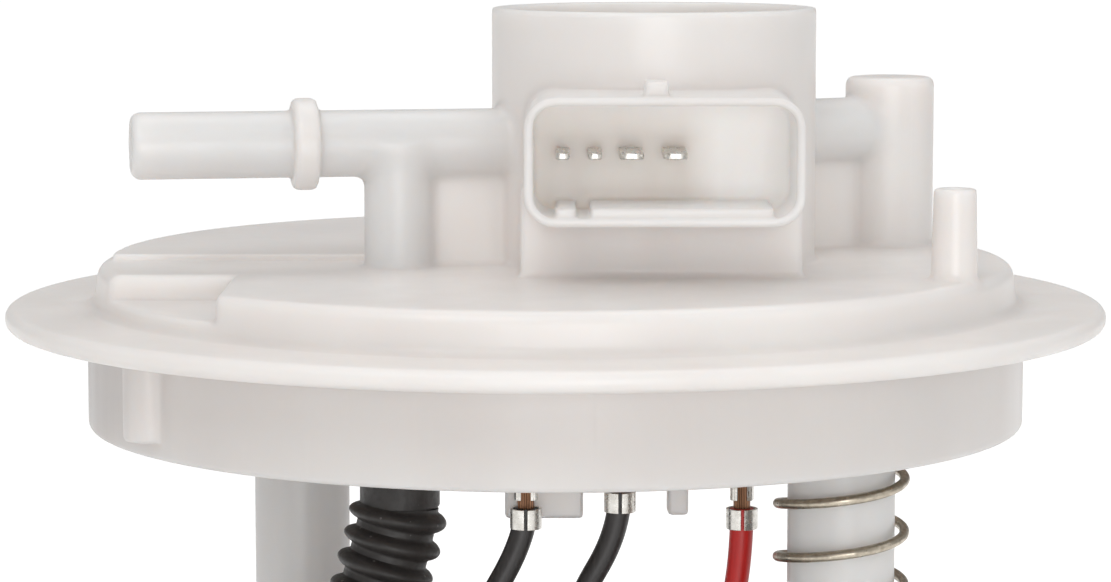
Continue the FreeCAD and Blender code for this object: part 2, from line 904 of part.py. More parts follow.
# Bores: the regulator cup with its seat, the fuel pipe, the leg and the return column.
bore_radius = "(collar_radius - collar_wall)"
cut_turned(
    cover,
    [
        (0, "collar_floor"),
        (f"{bore_radius} - collar_seat_width", "collar_floor"),
        (f"{bore_radius} - collar_seat_width", "collar_seat"),
        (bore_radius, "collar_seat"),
        (bore_radius, "collar_top - collar_wall / 2"),
        (f"{bore_radius} + collar_wall / 2", "collar_top"),
        (0, "collar_top"),
    ],
    "collar_x",
)
pipe_bore = new_sketch(cover, "XY_Plane", "leg_x", "leg_y", "pipe_height", "180 + pipe_angle")
draw_outline(pipe_bore, box_points(f"-{inward_reach} / 2", 0, "pipe_reach", "pipe_bore"))
shape_step(cover, "Groove", pipe_bore, 360, axis="H_Axis")
cut_round(cover, "pipe_bore", "barb_tip", "pipe_height - barb_tip", "leg_x", "leg_y")
stub_bore = new_sketch(cover, "XY_Plane", "collar_x", 0, "pipe_height", return_turn)
draw_outline(stub_bore, box_points("collar_radius / 2", 0, return_reach, "pipe_bore"))
shape_step(cover, "Groove", stub_bore, 360, axis="H_Axis")
cut_round(cover, "pipe_bore", "-return_spout_drop", "pipe_height + return_spout_drop", column_x, column_y)

# Contact blades: flat stampings that reach into the socket, turn down inside the moulding and jog
# sideways to the pitch of the crimp terminals.
half_plate = "blade_thickness / 2"


def contact_blade(index, width):
    blade = new_body(f"blade_{index}")
    top_x, tail_x = f"blade_{index}_x", f"tail_{index}_x"
    run = new_sketch(blade, "XZ_Plane", height=f"-blade_plane_y - {half_plate}")
    draw_outline(
        run,
        [
            (f"{tail_x} - tail_width / 2", "blade_tail_z"),
            (f"{tail_x} + tail_width / 2", "blade_tail_z"),
            (f"{tail_x} + tail_width / 2", "blade_jog_low"),
            (f"{top_x} + {width} / 2", "blade_jog_high"),
            (f"{top_x} + {width} / 2", f"blade_height + {half_plate}"),
            (f"{top_x} - {width} / 2", f"blade_height + {half_plate}"),
            (f"{top_x} - {width} / 2", "blade_jog_high"),
            (f"{tail_x} - tail_width / 2", "blade_jog_low"),
        ],
    )
    shape_step(blade, "Pad", run, "blade_thickness")
    tip = f"({width} / 4)"
    add_block(
        blade,
        [
            (f"{top_x} - {width} / 2", "blade_plane_y"),
            (f"{top_x} - {width} / 2", f"blade_tip_y + {tip}"),
            (f"{top_x} - {width} / 2 + {tip}", "blade_tip_y"),
            (f"{top_x} + {width} / 2 - {tip}", "blade_tip_y"),
            (f"{top_x} + {width} / 2", f"blade_tip_y + {tip}"),
            (f"{top_x} + {width} / 2", "blade_plane_y"),
        ],
        f"blade_height - {half_plate}",
        "blade_thickness",
    )
    return blade


BLADE_WIDTHS = {1: "narrow_blade", 2: "narrow_blade", 3: "wide_blade", 4: "wide_blade"}
blades = [contact_blade(index, width) for index, width in BLADE_WIDTHS.items()]
blade_group = doc.addObject("Part::Compound", "blade_group")
blade_group.Links = blades
flange_cover = doc.addObject("Part::Cut", "flange_cover")
flange_cover.Base = cover
flange_cover.Tool = blade_group
flange_cover.Label = "flange_cover"
doc.recompute()


# Crimp terminals: a folded box on the blade's tail, then a core crimp and a jacket crimp round the lead.
def crimp_terminal(name, tail_x, lift):
    terminal = new_body(name)
    low = "(terminal_top - terminal_box_length)"
    half_width, half_depth = "terminal_width / 2", "terminal_depth / 2"
    folded_box = box_points(f"-{half_width}", f"-{half_depth}", half_width, half_depth)
    add_block(terminal, folded_box, low, "terminal_box_length")
    cut_block(
        terminal,
        box_points(
            "-tail_width / 2 - seat_clearance",
            "-blade_thickness / 2 - seat_clearance",
            "tail_width / 2 + seat_clearance",
            "blade_thickness / 2 + seat_clearance",
        ),
        f"{low} + terminal_wall",
        "terminal_box_length",
    )
    core_low = f"({low} - core_crimp_length - crimp_gap)"
    add_round(terminal, "core_crimp_radius", core_low, "core_crimp_length + crimp_gap")
    jacket_low = f"({core_low} - jacket_crimp_length)"
    add_round(terminal, "jacket_crimp_radius", jacket_low, "jacket_crimp_length")
    cut_round(terminal, "wire_radius + seat_clearance", jacket_low, "jacket_crimp_length")
    place(terminal, tail_x, "blade_plane_y", lift)
    return terminal


terminals = {
    "terminal_left": crimp_terminal("terminal_left", "tail_1_x", 0),
    "terminal_mid": crimp_terminal("terminal_mid", "tail_2_x", "mid_terminal_lift"),
    "terminal_right": crimp_terminal("terminal_right", "tail_4_x", 0),
}

# Guide posts: tubes with a spigot glued in the cover's sockets. They carry the reservoir.
sleeve_bottom = "(sleeve_top - sleeve_length)"
clip_top = f"({sleeve_bottom} - stop_clearance)"
clip_bottom = f"({clip_top} - clip_thickness)"
post_end = f"({clip_bottom} - post_overhang)"
for side in ("left", "right"):
    post = new_body(f"guide_post_{side}")
    add_turned(
        post,
        [
            (0, "post_bore_top"),
            ("post_bore", "post_bore_top"),
            ("post_bore", post_end),
            ("post_radius - post_end_chamfer", post_end),
            ("post_radius", f"{post_end} + post_end_chamfer"),
            ("post_radius", clip_bottom),
            ("post_radius - clip_groove", clip_bottom),
            ("post_radius - clip_groove", clip_top),
            ("post_radius", clip_top),
            ("post_radius", "post_socket_z"),
            ("spigot_radius", "post_socket_z"),
            ("spigot_radius", "post_socket_z + spigot_length"),
            (0, "post_socket_z + spigot_length"),
        ],
    )
    place(post, *post_spots[side])

# Stop clips: two open rings sprung into the posts' grooves, which carry the extended reservoir.
clip_height = value("clip_thickness")
clip_shapes = []
for side in ("left", "right"):
    centre = Vector(*(value(spot) for spot in post_spots[side]), value(clip_bottom))
    ring = Part.makeCylinder(value("clip_radius"), clip_height, centre)
    hole = Part.makeCylinder(value("post_radius - clip_groove + seat_clearance"), clip_height, centre)
    mouth = Part.makeCylinder(
        value("clip_radius + cut_overrun"), clip_height, centre, Vector(0, 0, 1), value("clip_opening")
    )
    clip_shapes.append(ring.cut(hole).cut(mouth))
set_part("post_stop_clips", Part.makeCompound(clip_shapes))

# Load spring: pushes the reservoir down against the tank floor.
load_coil = helix_coil(
    value("spring_mean_radius"),
    value("spring_wire_radius"),
    value("sleeve_top"),
    value("post_socket_z"),
    value("spring_pitch"),
    value("spring_phase"),
)
load_spring = set_part("load_spring", load_coil)
place(load_spring, *post_spots["right"])

# Reservoir cup: round, with one flat for the level sender, guide sleeves for the posts and an open
# base ring that lets fuel in under the floor.
cup = new_body("reservoir_cup")


def cup_outline(inset):
    """The cup's outline, moved inwards: a circle with a flat on the left."""
    radius = f"({cup_radius} - {inset})"
    flat = f"({cup_flat_x} + {inset})"
    half_flat = f"sqrt({radius}^2 - {flat}^2)"
    return [(flat, f"-{half_flat}", radius, 1), (radius, 0, radius, 1), (flat, half_flat)]


add_block(cup, cup_outline(0), "cup_base", "cup_rim - cup_base")
cut_block(cup, cup_outline("cup_wall"), "cup_floor", "cup_rim - cup_floor")
cut_block(cup, cup_outline("cup_wall"), "cup_base", "cup_floor - cup_floor_thickness - cup_base")
half_notch = "base_notch_width / 2"
base_notch = cut_block(
    cup,
    box_points(f"{cup_radius} / 2", f"-{half_notch}", f"{cup_radius} + cup_wall", half_notch),
    "cup_base",
    "base_notch_height",
    turn="snap_angle",
)
repeat_round(cup, [base_notch], "snap_count")
lug_root, lug_face = f"{cup_radius} - cup_wall / 2", f"{cup_radius} + snap_lug_depth"
snap_lug = add_block(
    cup,
    box_points(lug_root, "-snap_lug_width / 2", lug_face, "snap_lug_width / 2"),
    "snap_lug_z - snap_lug_height / 2",
    "snap_lug_height",
    turn="snap_angle",
)
repeat_round(cup, [snap_lug], "snap_count")
sleeve_bore = "(post_radius + running_clearance)"
for side in ("left", "right"):
    add_round(cup, f"{sleeve_bore} + sleeve_wall", sleeve_bottom, "sleeve_length", *post_spots[side])
    cut_round(cup, sleeve_bore, sleeve_bottom, "sleeve_length", *post_spots[side])
cut_round(
    cup,
    "fill_stem_radius + running_clearance",
    "cup_floor - cup_floor_thickness",
    "cup_floor_thickness",
    "fill_valve_x",
    "fill_valve_y",
)
port_count = int(value("fill_port_count"))
for step in range(port_count):
    cut_round(
        cup,
        "fill_port_radius",
        "cup_floor - cup_floor_thickness",
        "cup_floor_thickness",
        f"fill_valve_x + fill_port_circle * cos({360 * step / port_count})",
        f"fill_valve_y + fill_port_circle * sin({360 * step / port_count})",
    )

# Fill valve: a disc over the floor's ports, free to lift on its stem.
fill_valve = new_body("fill_valve")
stem_low = "(cup_floor - cup_floor_thickness - fill_valve_lift)"
add_turned(
    fill_valve,
    [
        (0, f"{stem_low} - fill_valve_thickness"),
        ("fill_stem_radius", f"{stem_low} - fill_valve_thickness"),
        ("fill_stem_head", stem_low),
        ("fill_stem_radius", stem_low),
        ("fill_stem_radius", "cup_floor"),
        ("fill_valve_radius", "cup_floor"),
        ("fill_valve_radius", "cup_floor + fill_valve_thickness / 2"),
        ("fill_stem_head", "cup_floor + fill_valve_thickness"),
        (0, "cup_floor + fill_valve_thickness"),
    ],
)
place(fill_valve, "fill_valve_x", "fill_valve_y")

# Reservoir lid: a plate on the cup's rim with a locating rib inside, four snap straps outside,
# holes for the sleeves and one opening for the hose and the leads.
lid = new_body("reservoir_lid")
add_block(lid, cup_outline(0), "cup_rim", "lid_thickness")
rib_outer = "(cup_wall + loose_clearance)"
rib = new_sketch(lid, "XY_Plane", height="cup_rim - lid_rib_depth")
draw_outline(rib, cup_outline(rib_outer))
draw_outline(rib, cup_outline(f"({rib_outer} + lid_rib_wall)"))
shape_step(lid, "Pad", rib, "lid_rib_depth")
strap_inner = f"({cup_radius} + loose_clearance)"
strap_outer = f"({strap_inner} + strap_thickness)"
strap = add_block(
    lid,
    box_points(f"{cup_radius} - cup_wall", "-strap_width / 2", strap_outer, "strap_width / 2"),
    "cup_rim",
    "lid_thickness",
    turn="snap_angle",
)
strap_leg = add_block(
    lid,
    box_points(strap_inner, "-strap_width / 2", strap_outer, "strap_width / 2"),
    "strap_bottom",
    "cup_rim - strap_bottom",
    turn="snap_angle",
)
strap_window = cut_block(
    lid,
    box_points(
        cup_radius,
        "-snap_lug_width / 2 - loose_clearance",
        f"{strap_outer} + cut_overrun",
        "snap_lug_width / 2 + loose_clearance",
    ),
    "snap_lug_z - snap_lug_height / 2 - loose_clearance",
    "snap_lug_height + 2 * loose_clearance",
    turn="snap_angle",
)
repeat_round(lid, [strap, strap_leg, strap_window], "snap_count")
for side in ("left", "right"):
    cut_round(
        lid,
        f"{sleeve_bore} + sleeve_wall + loose_clearance",
        "cup_rim - lid_rib_depth",
        "lid_thickness + lid_rib_depth",
        *post_spots[side],
    )
cut_block(
    lid,
    rounded_box_points(
        f"({pump_x} - lid_opening_left)",
        "(pump_y - lid_opening_front)",
        f"({pump_x} + lid_opening_right)",
        "(pump_y + lid_opening_back)",
        "lid_opening_corner",
    ),
    "cup_rim",
    "lid_thickness",
)

# Pump case: a drawn steel tube with both ends rolled in over the end covers.
case_bottom = "(case_top - case_length)"
case_inner = "(case_radius - case_wall)"
lip_radius = f"({case_inner} - case_lip)"
pump_case = new_body("pump_case")
add_turned(
    pump_case,
    [
        (lip_radius, "case_top"),
        ("case_radius", "case_top"),
        ("case_radius", case_bottom),
        (lip_radius, case_bottom),
        (lip_radius, f"{case_bottom} + case_lip_thickness"),
        (case_inner, f"{case_bottom} + case_lip_thickness"),
        (case_inner, "case_top - case_lip_thickness"),
        (lip_radius, "case_top - case_lip_thickness"),
    ],
)
place(pump_case, pump_x, "pump_y")

# Outlet cover: the pump's upper end, with outlet nipple, valve chambers and brush holders.
outlet = new_body("outlet_cover")
plate_top = "(case_top - case_lip_thickness)"
plate_low = f"({plate_top} - cover_plate_thickness)"
neck_top = "(case_top + cover_neck_height)"
neck_radius = f"({lip_radius} - seat_clearance)"
add_turned(
    outlet,
    [
        (0, plate_low),
        (f"{case_inner} - seat_clearance", plate_low),
        (f"{case_inner} - seat_clearance", plate_top),
        (neck_radius, plate_top),
        (neck_radius, f"{neck_top} - cover_neck_round", "cover_neck_round", 1),
        (f"{neck_radius} - cover_neck_round", neck_top),
        (0, neck_top),
    ],
)
nipple_top = f"({neck_top} + nipple_height)"
add_turned(
    outlet,
    [
        (0, plate_low),
        ("nipple_radius", plate_low),
        ("nipple_radius", f"{nipple_top} - nipple_barb"),
        ("nipple_radius + barb_bite", f"{nipple_top} - nipple_barb"),
        ("nipple_radius - barb_bite", nipple_top),
        (0, nipple_top),
    ],
    "nipple_offset",
)
holder_half = "(brush_side / 2 + brush_holder_wall)"
for side in (-1, 1):
    spot_y = f"({side} * brush_circle)"
    near, far = f"{spot_y} - {holder_half}", f"{spot_y} + {holder_half}"
    add_block(
        outlet,
        box_points(f"-{holder_half}", near, holder_half, far),
        f"{plate_low} - brush_holder_drop",
        "brush_holder_drop + cut_overrun",
    )
    inside = "(brush_side / 2 + running_clearance)"
    cut_block(
        outlet,
        box_points(f"-{inside}", f"{spot_y} - {inside}", inside, f"{spot_y} + {inside}"),
        f"{plate_low} - brush_holder_drop",
        f"brush_chamber_top - {plate_low} + brush_holder_drop",
    )
cut_turned(
    outlet,
    [
        (0, plate_low),
        ("valve_port_radius", plate_low),
        ("valve_port_radius", "valve_seat_z"),
        ("valve_chamber_radius", "valve_seat_z"),
        ("valve_chamber_radius", "valve_chamber_top"),
        ("nipple_bore", "valve_chamber_top"),
        ("nipple_bore", nipple_top),
        (0, nipple_top),
    ],
    "nipple_offset",
)
cut_turned(
    outlet,
    [
        (0, plate_low),
        ("relief_port", plate_low),
        ("relief_port", "relief_seat_z"),
        ("relief_chamber", "relief_seat_z"),
        ("relief_chamber", neck_top),
        (0, neck_top),
    ],
    "relief_x",
    "relief_y",
)
cut_round(outlet, "bearing_radius + seat_clearance", plate_low, "bearing_length")
for side in (-1, 1):
    pin_y = f"({side} * pin_spacing / 2)"
    cut_block(
        outlet,
        box_points(
            "plug_offset - blade_thickness / 2",
            f"{pin_y} - pin_width / 2",
            "plug_offset + blade_thickness / 2",
            f"{pin_y} + pin_width / 2",
        ),
        "pin_root",
        f"{neck_top} - pin_root",
    )
place(outlet, pump_x, "pump_y")

# Pins of the pump, one solid each, standing in the outlet cover.
pump_pins = new_body("pump_pins")
for side in (-1, 1):
    pin_y = f"({side} * pin_spacing / 2)"
    add_block(
        pump_pins,
        box_points(
            "plug_offset - blade_thickness / 2",
            f"{pin_y} - pin_width / 2",
            "plug_offset + blade_thickness / 2",
            f"{pin_y} + pin_width / 2",
        ),
        "pin_root",
        "pin_top - pin_root",
    )
place(pump_pins, pump_x, "pump_y")

# Plug on the pins, with the two leads entering from above.
plug = new_body("pump_plug")
add_block(
    plug,
    rounded_box_points(
        "(plug_offset - plug_length / 2)",
        "(-plug_width / 2)",
        "(plug_offset + plug_length / 2)",
        "(plug_width / 2)",
        "bead_round",
    ),
    "plug_bottom",
    "plug_top - plug_bottom",
)
for side in (-1, 1):
    pin_y = f"({side} * pin_spacing / 2)"
    half_pin = "(pin_width / 2 + running_clearance)"
    half_slot = "(blade_thickness / 2 + running_clearance)"
    cut_block(
        plug,
        box_points(
            f"plug_offset - {half_slot}",
            f"{pin_y} - {half_pin}",
            f"plug_offset + {half_slot}",
            f"{pin_y} + {half_pin}",
        ),
        "plug_bottom",
        "pin_top + loose_clearance - plug_bottom",
    )
place(plug, pump_x, "pump_y")

# Check valve in the outlet: a plunger pressed on its seat by a light spring.
plunger = new_body("check_valve_plunger")
add_turned(
    plunger,
    [
        (0, 0),
        ("plunger_radius", 0),
        ("plunger_radius", "plunger_head / 2"),
        ("plunger_stem", "plunger_head"),
        ("plunger_stem", "plunger_length"),
        (0, "plunger_length"),
    ],
)
place(plunger, nipple_x, "pump_y", "valve_seat_z")
check_coil = helix_coil(
    value("(plunger_radius + plunger_stem) / 2"),
    value("small_spring_wire"),
    value("valve_seat_z + plunger_head"),
    value("valve_chamber_top"),
    value("small_spring_pitch"),
)
check_spring = set_part("check_valve_spring", check_coil)
place(check_spring, nipple_x, "pump_y")

# Relief valve: ball, spring and drilled cap.
relief_rise = "sqrt(relief_ball^2 - relief_port^2)"
relief_ball_z = f"(relief_seat_z + {relief_rise})"
ball = doc.addObject("Part::Sphere", "relief_valve_ball")
ball.Label = "relief_valve_ball"
ball.setExpression("Radius", bound("relief_ball"))
place(ball, f"{pump_x} + relief_x", "pump_y + relief_y", relief_ball_z)
relief_cap = new_body("relief_valve_cap")
add_turned(
    relief_cap,
    tube_points(
        "relief_port / 2",
        "relief_chamber - seat_clearance",
        f"{neck_top} - relief_cap_thickness",
        neck_top,
    ),
)
place(relief_cap, f"{pump_x} + relief_x", "pump_y + relief_y")
relief_coil = helix_coil(
    value("relief_port"),
    value("small_spring_wire"),
    value(f"{relief_ball_z} + {relief_rise}"),
    value(f"{neck_top} - relief_cap_thickness"),
    value("small_spring_pitch"),
)
relief_spring = set_part("relief_valve_spring", relief_coil)
place(relief_spring, f"{pump_x} + relief_x", "pump_y + relief_y")

# Carbon brushes on the commutator's face, with their springs.
commutator_top = f"({plate_low} - brush_holder_drop - loose_clearance)"
brush_top = f"({commutator_top} + brush_length)"
brushes = new_body("carbon_brushes")
brush_half = "brush_side / 2"
for side in (-1, 1):
    spot_y = f"({side} * brush_circle)"
    add_block(
        brushes,
        box_points(f"-{brush_half}", f"{spot_y} - {brush_half}", brush_half, f"{spot_y} + {brush_half}"),
        commutator_top,
        "brush_length",
    )
place(brushes, pump_x, "pump_y")
brush_coils = [
    helix_coil(
        value("brush_side / 2 - 3 * small_spring_wire"),
        value("small_spring_wire"),
        value(brush_top),
        value("brush_chamber_top"),
        value(f"(brush_chamber_top - {brush_top} - 2 * small_spring_wire) / brush_spring_turns"),
        y=value(f"{side} * brush_circle"),
    )
    for side in (-1, 1)
]
brush_springs = set_part("brush_springs", Part.makeCompound(brush_coils))
place(brush_springs, pump_x, "pump_y")

# Rotor: shaft, face commutator, slotted iron core and its windings.
channel_low = "(turbine_top - channel_plate_thickness)"
impeller_low = f"({channel_low} - impeller_thickness - running_clearance)"
shaft_low = f"({impeller_low} - shaft_tail)"
shaft_high = f"({plate_low} + bearing_length - loose_clearance)"
shaft = new_body("motor_shaft")
add_round(shaft, "shaft_radius", shaft_low, f"{shaft_high} - {shaft_low}")
place(shaft, pump_x, "pump_y")
rotor_bore = "(shaft_radius + seat_clearance)"
commutator = new_body("commutator")
commutator_low = f"({commutator_top} - commutator_thickness)"
add_turned(commutator, tube_points(rotor_bore, "commutator_radius", commutator_low, commutator_top))
half_gap = "commutator_slot / 2"
segment_gap = cut_block(
    commutator,
    box_points("shaft_radius * 2", f"-{half_gap}", "commutator_radius + cut_overrun", half_gap),
    f"{commutator_top} - commutator_thickness / 2",
    "commutator_thickness",
)
repeat_round(commutator, [segment_gap], "pole_count")
place(commutator, pump_x, "pump_y")
core = new_body("armature_core")
add_turned(core, tube_points(rotor_bore, "core_radius", "core_bottom", "core_top"))
half_core_slot = "slot_width / 2"
core_slot = cut_block(
    core,
    box_points(
        "core_radius - slot_depth", f"-{half_core_slot}", "core_radius + cut_overrun", half_core_slot
    ),
    "core_bottom",
    "core_top - core_bottom",
)
repeat_round(core, [core_slot], "pole_count")
place(core, pump_x, "pump_y")
windings = new_body("armature_windings")
winding_inner = "(core_radius - slot_depth)"
for low, high in (
    ("core_top", "core_top + winding_height"),
    ("core_bottom - winding_height", "core_bottom"),
):
    add_turned(
        windings,
        [
            (winding_inner, low),
            ("winding_radius", low),
            ("winding_radius", high),
            (winding_inner, high),
        ],
    )
place(windings, pump_x, "pump_y")

# Permanent magnets: two curved segments inside the case.
magnets = new_body("field_magnets")
magnet = add_turned(
    magnets,
    tube_points(
        "magnet_inner",
        f"{case_inner} - seat_clearance",
        "core_bottom - magnet_overhang",
        "core_top + magnet_overhang",
    ),
    angle="magnet_angle",
)
repeat_round(magnets, [magnet], 2)
place(magnets, pump_x, "pump_y")

# Turbine stage: channel plate with the lower bearing, impeller, and inlet cover with its side channel.
stage_radius = f"({case_inner} - seat_clearance)"
channel_plate = new_body("channel_plate")
add_turned(
    channel_plate,
    tube_points("bearing_radius + seat_clearance", stage_radius, channel_low, "turbine_top"),
)
channel = "(impeller_radius - impeller_vane_depth)"
cut_turned(
    channel_plate,
    tube_points(channel, "impeller_radius", channel_low, f"{channel_low} + channel_depth"),
)
cut_round(
    channel_plate,
    "valve_port_radius",
    channel_low,
    "channel_plate_thickness",
    f"{channel}",
)
place(channel_plate, pump_x, "pump_y")
impeller = new_body("impeller")
impeller_top = f"({channel_low} - running_clearance)"
add_turned(
    impeller,
    tube_points(rotor_bore, "impeller_radius", impeller_low, impeller_top),
)
half_vane_gap = "impeller_vane_width / 2"
vane_gap = cut_block(
    impeller,
    box_points(channel, f"-{half_vane_gap}", "impeller_radius + cut_overrun", half_vane_gap),
    impeller_low,
    "impeller_thickness",
)
repeat_round(impeller, [vane_gap], "impeller_vane_count")
place(impeller, pump_x, "pump_y")
inlet_top = f"({impeller_low} - running_clearance)"
inlet_low = f"({case_bottom} + case_lip_thickness)"
inlet = new_body("inlet_cover")
add_turned(
    inlet,
    [
        (0, f"{case_bottom}"),
        (neck_radius, f"{case_bottom}"),
        (neck_radius, inlet_low),
        (stage_radius, inlet_low),
        (stage_radius, channel_low),
        ("impeller_radius + loose_clearance", channel_low),
        ("impeller_radius + loose_clearance", inlet_top),
        (0, inlet_top),
    ],
)
inlet_mouth = f"({case_bottom} - inlet_length)"
add_round(inlet, "inlet_radius", inlet_mouth, "inlet_length + case_lip_thickness", "inlet_offset")
cut_round(
    inlet,
    "inlet_bore",
    inlet_mouth,
    f"{inlet_top} - {case_bottom} + inlet_length",
    "inlet_offset",
)
cut_turned(inlet, tube_points(channel, "impeller_radius", f"{inlet_top} - channel_depth", inlet_top))
cut_round(
    inlet,
    "shaft_radius + running_clearance",
    f"{shaft_low} - running_clearance",
    f"{inlet_top} - {shaft_low} + running_clearance",
)
place(inlet, pump_x, "pump_y")

# Plain bearings in the outlet cover and the channel plate.
for name, low, length in (
    ("upper_bearing", plate_low, "bearing_length - loose_clearance"),
    ("lower_bearing", channel_low, "channel_plate_thickness"),
):
    bearing = new_body(name)
    add_turned(
        bearing,
        tube_points("shaft_radius + running_clearance / 2", "bearing_radius", low, f"{low} + {length}"),
    )
    place(bearing, pump_x, "pump_y")

# Rubber cup under the pump, and the holder cage that hangs from the lid.
isolator = new_body("pump_isolator")
isolator_low = f"({case_bottom} - isolator_floor - seat_clearance)"
add_turned(
    isolator,
    [
        ("isolator_hole", isolator_low),
        (isolator_outer, isolator_low),
        (isolator_outer, f"{isolator_low} + isolator_height"),
        (isolator_inner, f"{isolator_low} + isolator_height"),
        (isolator_inner, f"{case_bottom} - seat_clearance"),
        ("isolator_hole", f"{case_bottom} - seat_clearance"),
    ],
)
place(isolator, pump_x, "pump_y")
holder = new_body("pump_holder")
holder_low = f"({isolator_low} - holder_wall - seat_clearance)"
add_turned(
    holder,
    [
        ("isolator_hole", holder_low),
        (holder_outer, holder_low),
        (holder_outer, f"{holder_low} + holder_height"),
        (holder_inner, f"{holder_low} + holder_height"),
        (holder_inner, f"{isolator_low} - seat_clearance"),
        ("isolator_hole", f"{isolator_low} - seat_clearance"),
    ],
)
add_turned(
    holder,
    tube_points("case_radius + seat_clearance", holder_outer, "case_top - holder_ring_height", "case_top"),
)
HOLDER_LEG_ANGLES = (90, 180, 300)
for angle in HOLDER_LEG_ANGLES:
    half_leg = "holder_leg_width / 2"
    add_block(
        holder,
        box_points(f"{holder_inner} - seat_clearance", f"-{half_leg}", holder_outer, half_leg),
        f"{holder_low} + holder_height / 2",
        f"cup_rim - {holder_low} - holder_height / 2",
        turn=angle,
    )
place(holder, pump_x, "pump_y")

# Strainer: a moulded neck on the inlet tube and a flat fabric sock on the reservoir floor.
sock_low = "(cup_floor + loose_clearance)"
sock_high = f"({sock_low} + sock_height)"
neck = new_body("strainer_neck")
neck_bore = "(inlet_radius + seat_clearance)"
neck_high = f"({holder_low} - loose_clearance)"
add_turned(
    neck,
    tube_points(neck_bore, f"{neck_bore} + neck_wall", f"{neck_high} - neck_length", neck_high),
)
place(neck, inlet_x, "pump_y")
sock = new_body("strainer_sock")
add_block(
    sock,
    rounded_box_points(
        "(-sock_inset)",
        "(-sock_width / 2)",
        f"({cup_radius} - sock_end_inset - {inlet_x})",
        "(sock_width / 2)",
        "sock_corner",
    ),
    sock_low,
    "sock_height",
)
neck_socket = f"{neck_bore} + neck_wall + seat_clearance"
cut_round(sock, neck_socket, f"{neck_high} - neck_length", "neck_length + sock_height")
place(sock, inlet_x, "pump_y")

# Level sender on the cup's flat: housing with resistor card and pivot pin.
housing = new_body("sender_housing")
plate_face = "(-sender_plate)"
housing_sketch = new_sketch(housing, "YZ_Plane")
draw_outline(
    housing_sketch,
    rounded_box_points(
        "(-sender_half_width)",
        "(sender_low - pivot_z)",
        "sender_half_width",
        "(sender_high - pivot_z)",
        "bead_half_width",
    ),
)
shape_step(housing, "Pad", housing_sketch, "sender_plate", reverse=True)
rim_sketch = new_sketch(housing, "YZ_Plane", height=plate_face)
for margin in ("sender_rim", "seat_clearance"):
    draw_outline(
        rim_sketch,
        box_points(
            f"-card_width / 2 - {margin}",
            f"card_low - {margin}",
            f"card_width / 2 + {margin}",
            f"card_high + {margin}",
        ),
    )
shape_step(housing, "Pad", rim_sketch, "card_thickness", reverse=True)
for radius, length in (
    ("pivot_boss_radius", "pivot_boss_height"),
    ("pivot_pin_radius", "pivot_boss_height + pivot_pin_length"),
):
    pin_sketch = new_sketch(housing, "YZ_Plane", height=plate_face)
    draw_circle(pin_sketch, radius)
    shape_step(housing, "Pad", pin_sketch, length, reverse=True)
place(housing, cup_flat_x, "pivot_y", "pivot_z")
card = new_body("resistor_card")
card_sketch = new_sketch(card, "YZ_Plane", height=plate_face)
draw_outline(card_sketch, box_points("-card_width / 2", "card_low", "card_width / 2", "card_high"))
shape_step(card, "Pad", card_sketch, "card_thickness", reverse=True)
place(card, cup_flat_x, "pivot_y", "pivot_z")

# Swinging group: hub, wiper, arm and float, drawn with the arm level and turned down to its stop.
arm_turn = {"turn": "arm_rest_angle", "axis": Vector(1, 0, 0)}
pivot_spot = (cup_flat_x, "pivot_y", "pivot_z")
hub_back = "(sender_plate + pivot_boss_height + running_clearance)"
hub_front = f"({hub_back} + hub_thickness)"
hub = new_body("wiper_hub")
hub_sketch = new_sketch(hub, "YZ_Plane", height=f"-{hub_back}")
draw_circle(hub_sketch, "hub_radius")
draw_circle(hub_sketch, "pivot_pin_radius + running_clearance")
shape_step(hub, "Pad", hub_sketch, "hub_thickness", reverse=True)
arm_grip = new_sketch(hub, "YZ_Plane", height=f"-{hub_back}")
draw_outline(
    arm_grip,
    box_points("-3 * hub_radius", "-2 * arm_radius", "-hub_radius / 2", "2 * arm_radius"),
)
shape_step(hub, "Pad", arm_grip, "hub_thickness", reverse=True)
arm_x = f"({hub_front} - arm_radius / 2)"
arm_groove = new_sketch(hub, "XY_Plane", height=0)
groove_floor = f"-{hub_front} + 1.5 * arm_radius"
draw_outline(
    arm_groove,
    box_points(
        f"-{hub_front} - cut_overrun", "-4 * hub_radius", groove_floor, "-hub_radius / 2 - arm_seat"
    ),
)
groove = hub.newObject("PartDesign::Pocket", "arm_slot")
groove.Profile = arm_groove
groove.Midplane = True
groove.setExpression("Length", bound("2 * arm_radius"))
place(hub, *pivot_spot, **arm_turn)
hub_clip = new_body("hub_clip")
clip_sketch = new_sketch(hub_clip, "YZ_Plane", height=f"-{hub_front} - running_clearance")
draw_circle(clip_sketch, "hub_clip_radius")
draw_circle(clip_sketch, "pivot_pin_radius + seat_clearance")
shape_step(hub_clip, "Pad", clip_sketch, "hub_clip_thickness", reverse=True)
place(hub_clip, *pivot_spot)
wiper = new_body("wiper_contact")
wiper_sketch = new_sketch(wiper, "YZ_Plane", height=f"-sender_plate - card_thickness - running_clearance")
wiper_width = "(arm_radius * 1.5)"
wiper_root, wiper_tip = "pivot_boss_radius + loose_clearance", "wiper_circle + 2 * arm_radius"
draw_outline(wiper_sketch, box_points(f"-{wiper_width}", wiper_root, wiper_width, wiper_tip))
shape_step(
    wiper, "Pad", wiper_sketch, "pivot_boss_height - card_thickness - running_clearance", reverse=True
)
place(wiper, *pivot_spot, turn="arm_swing / 2", axis=Vector(1, 0, 0))

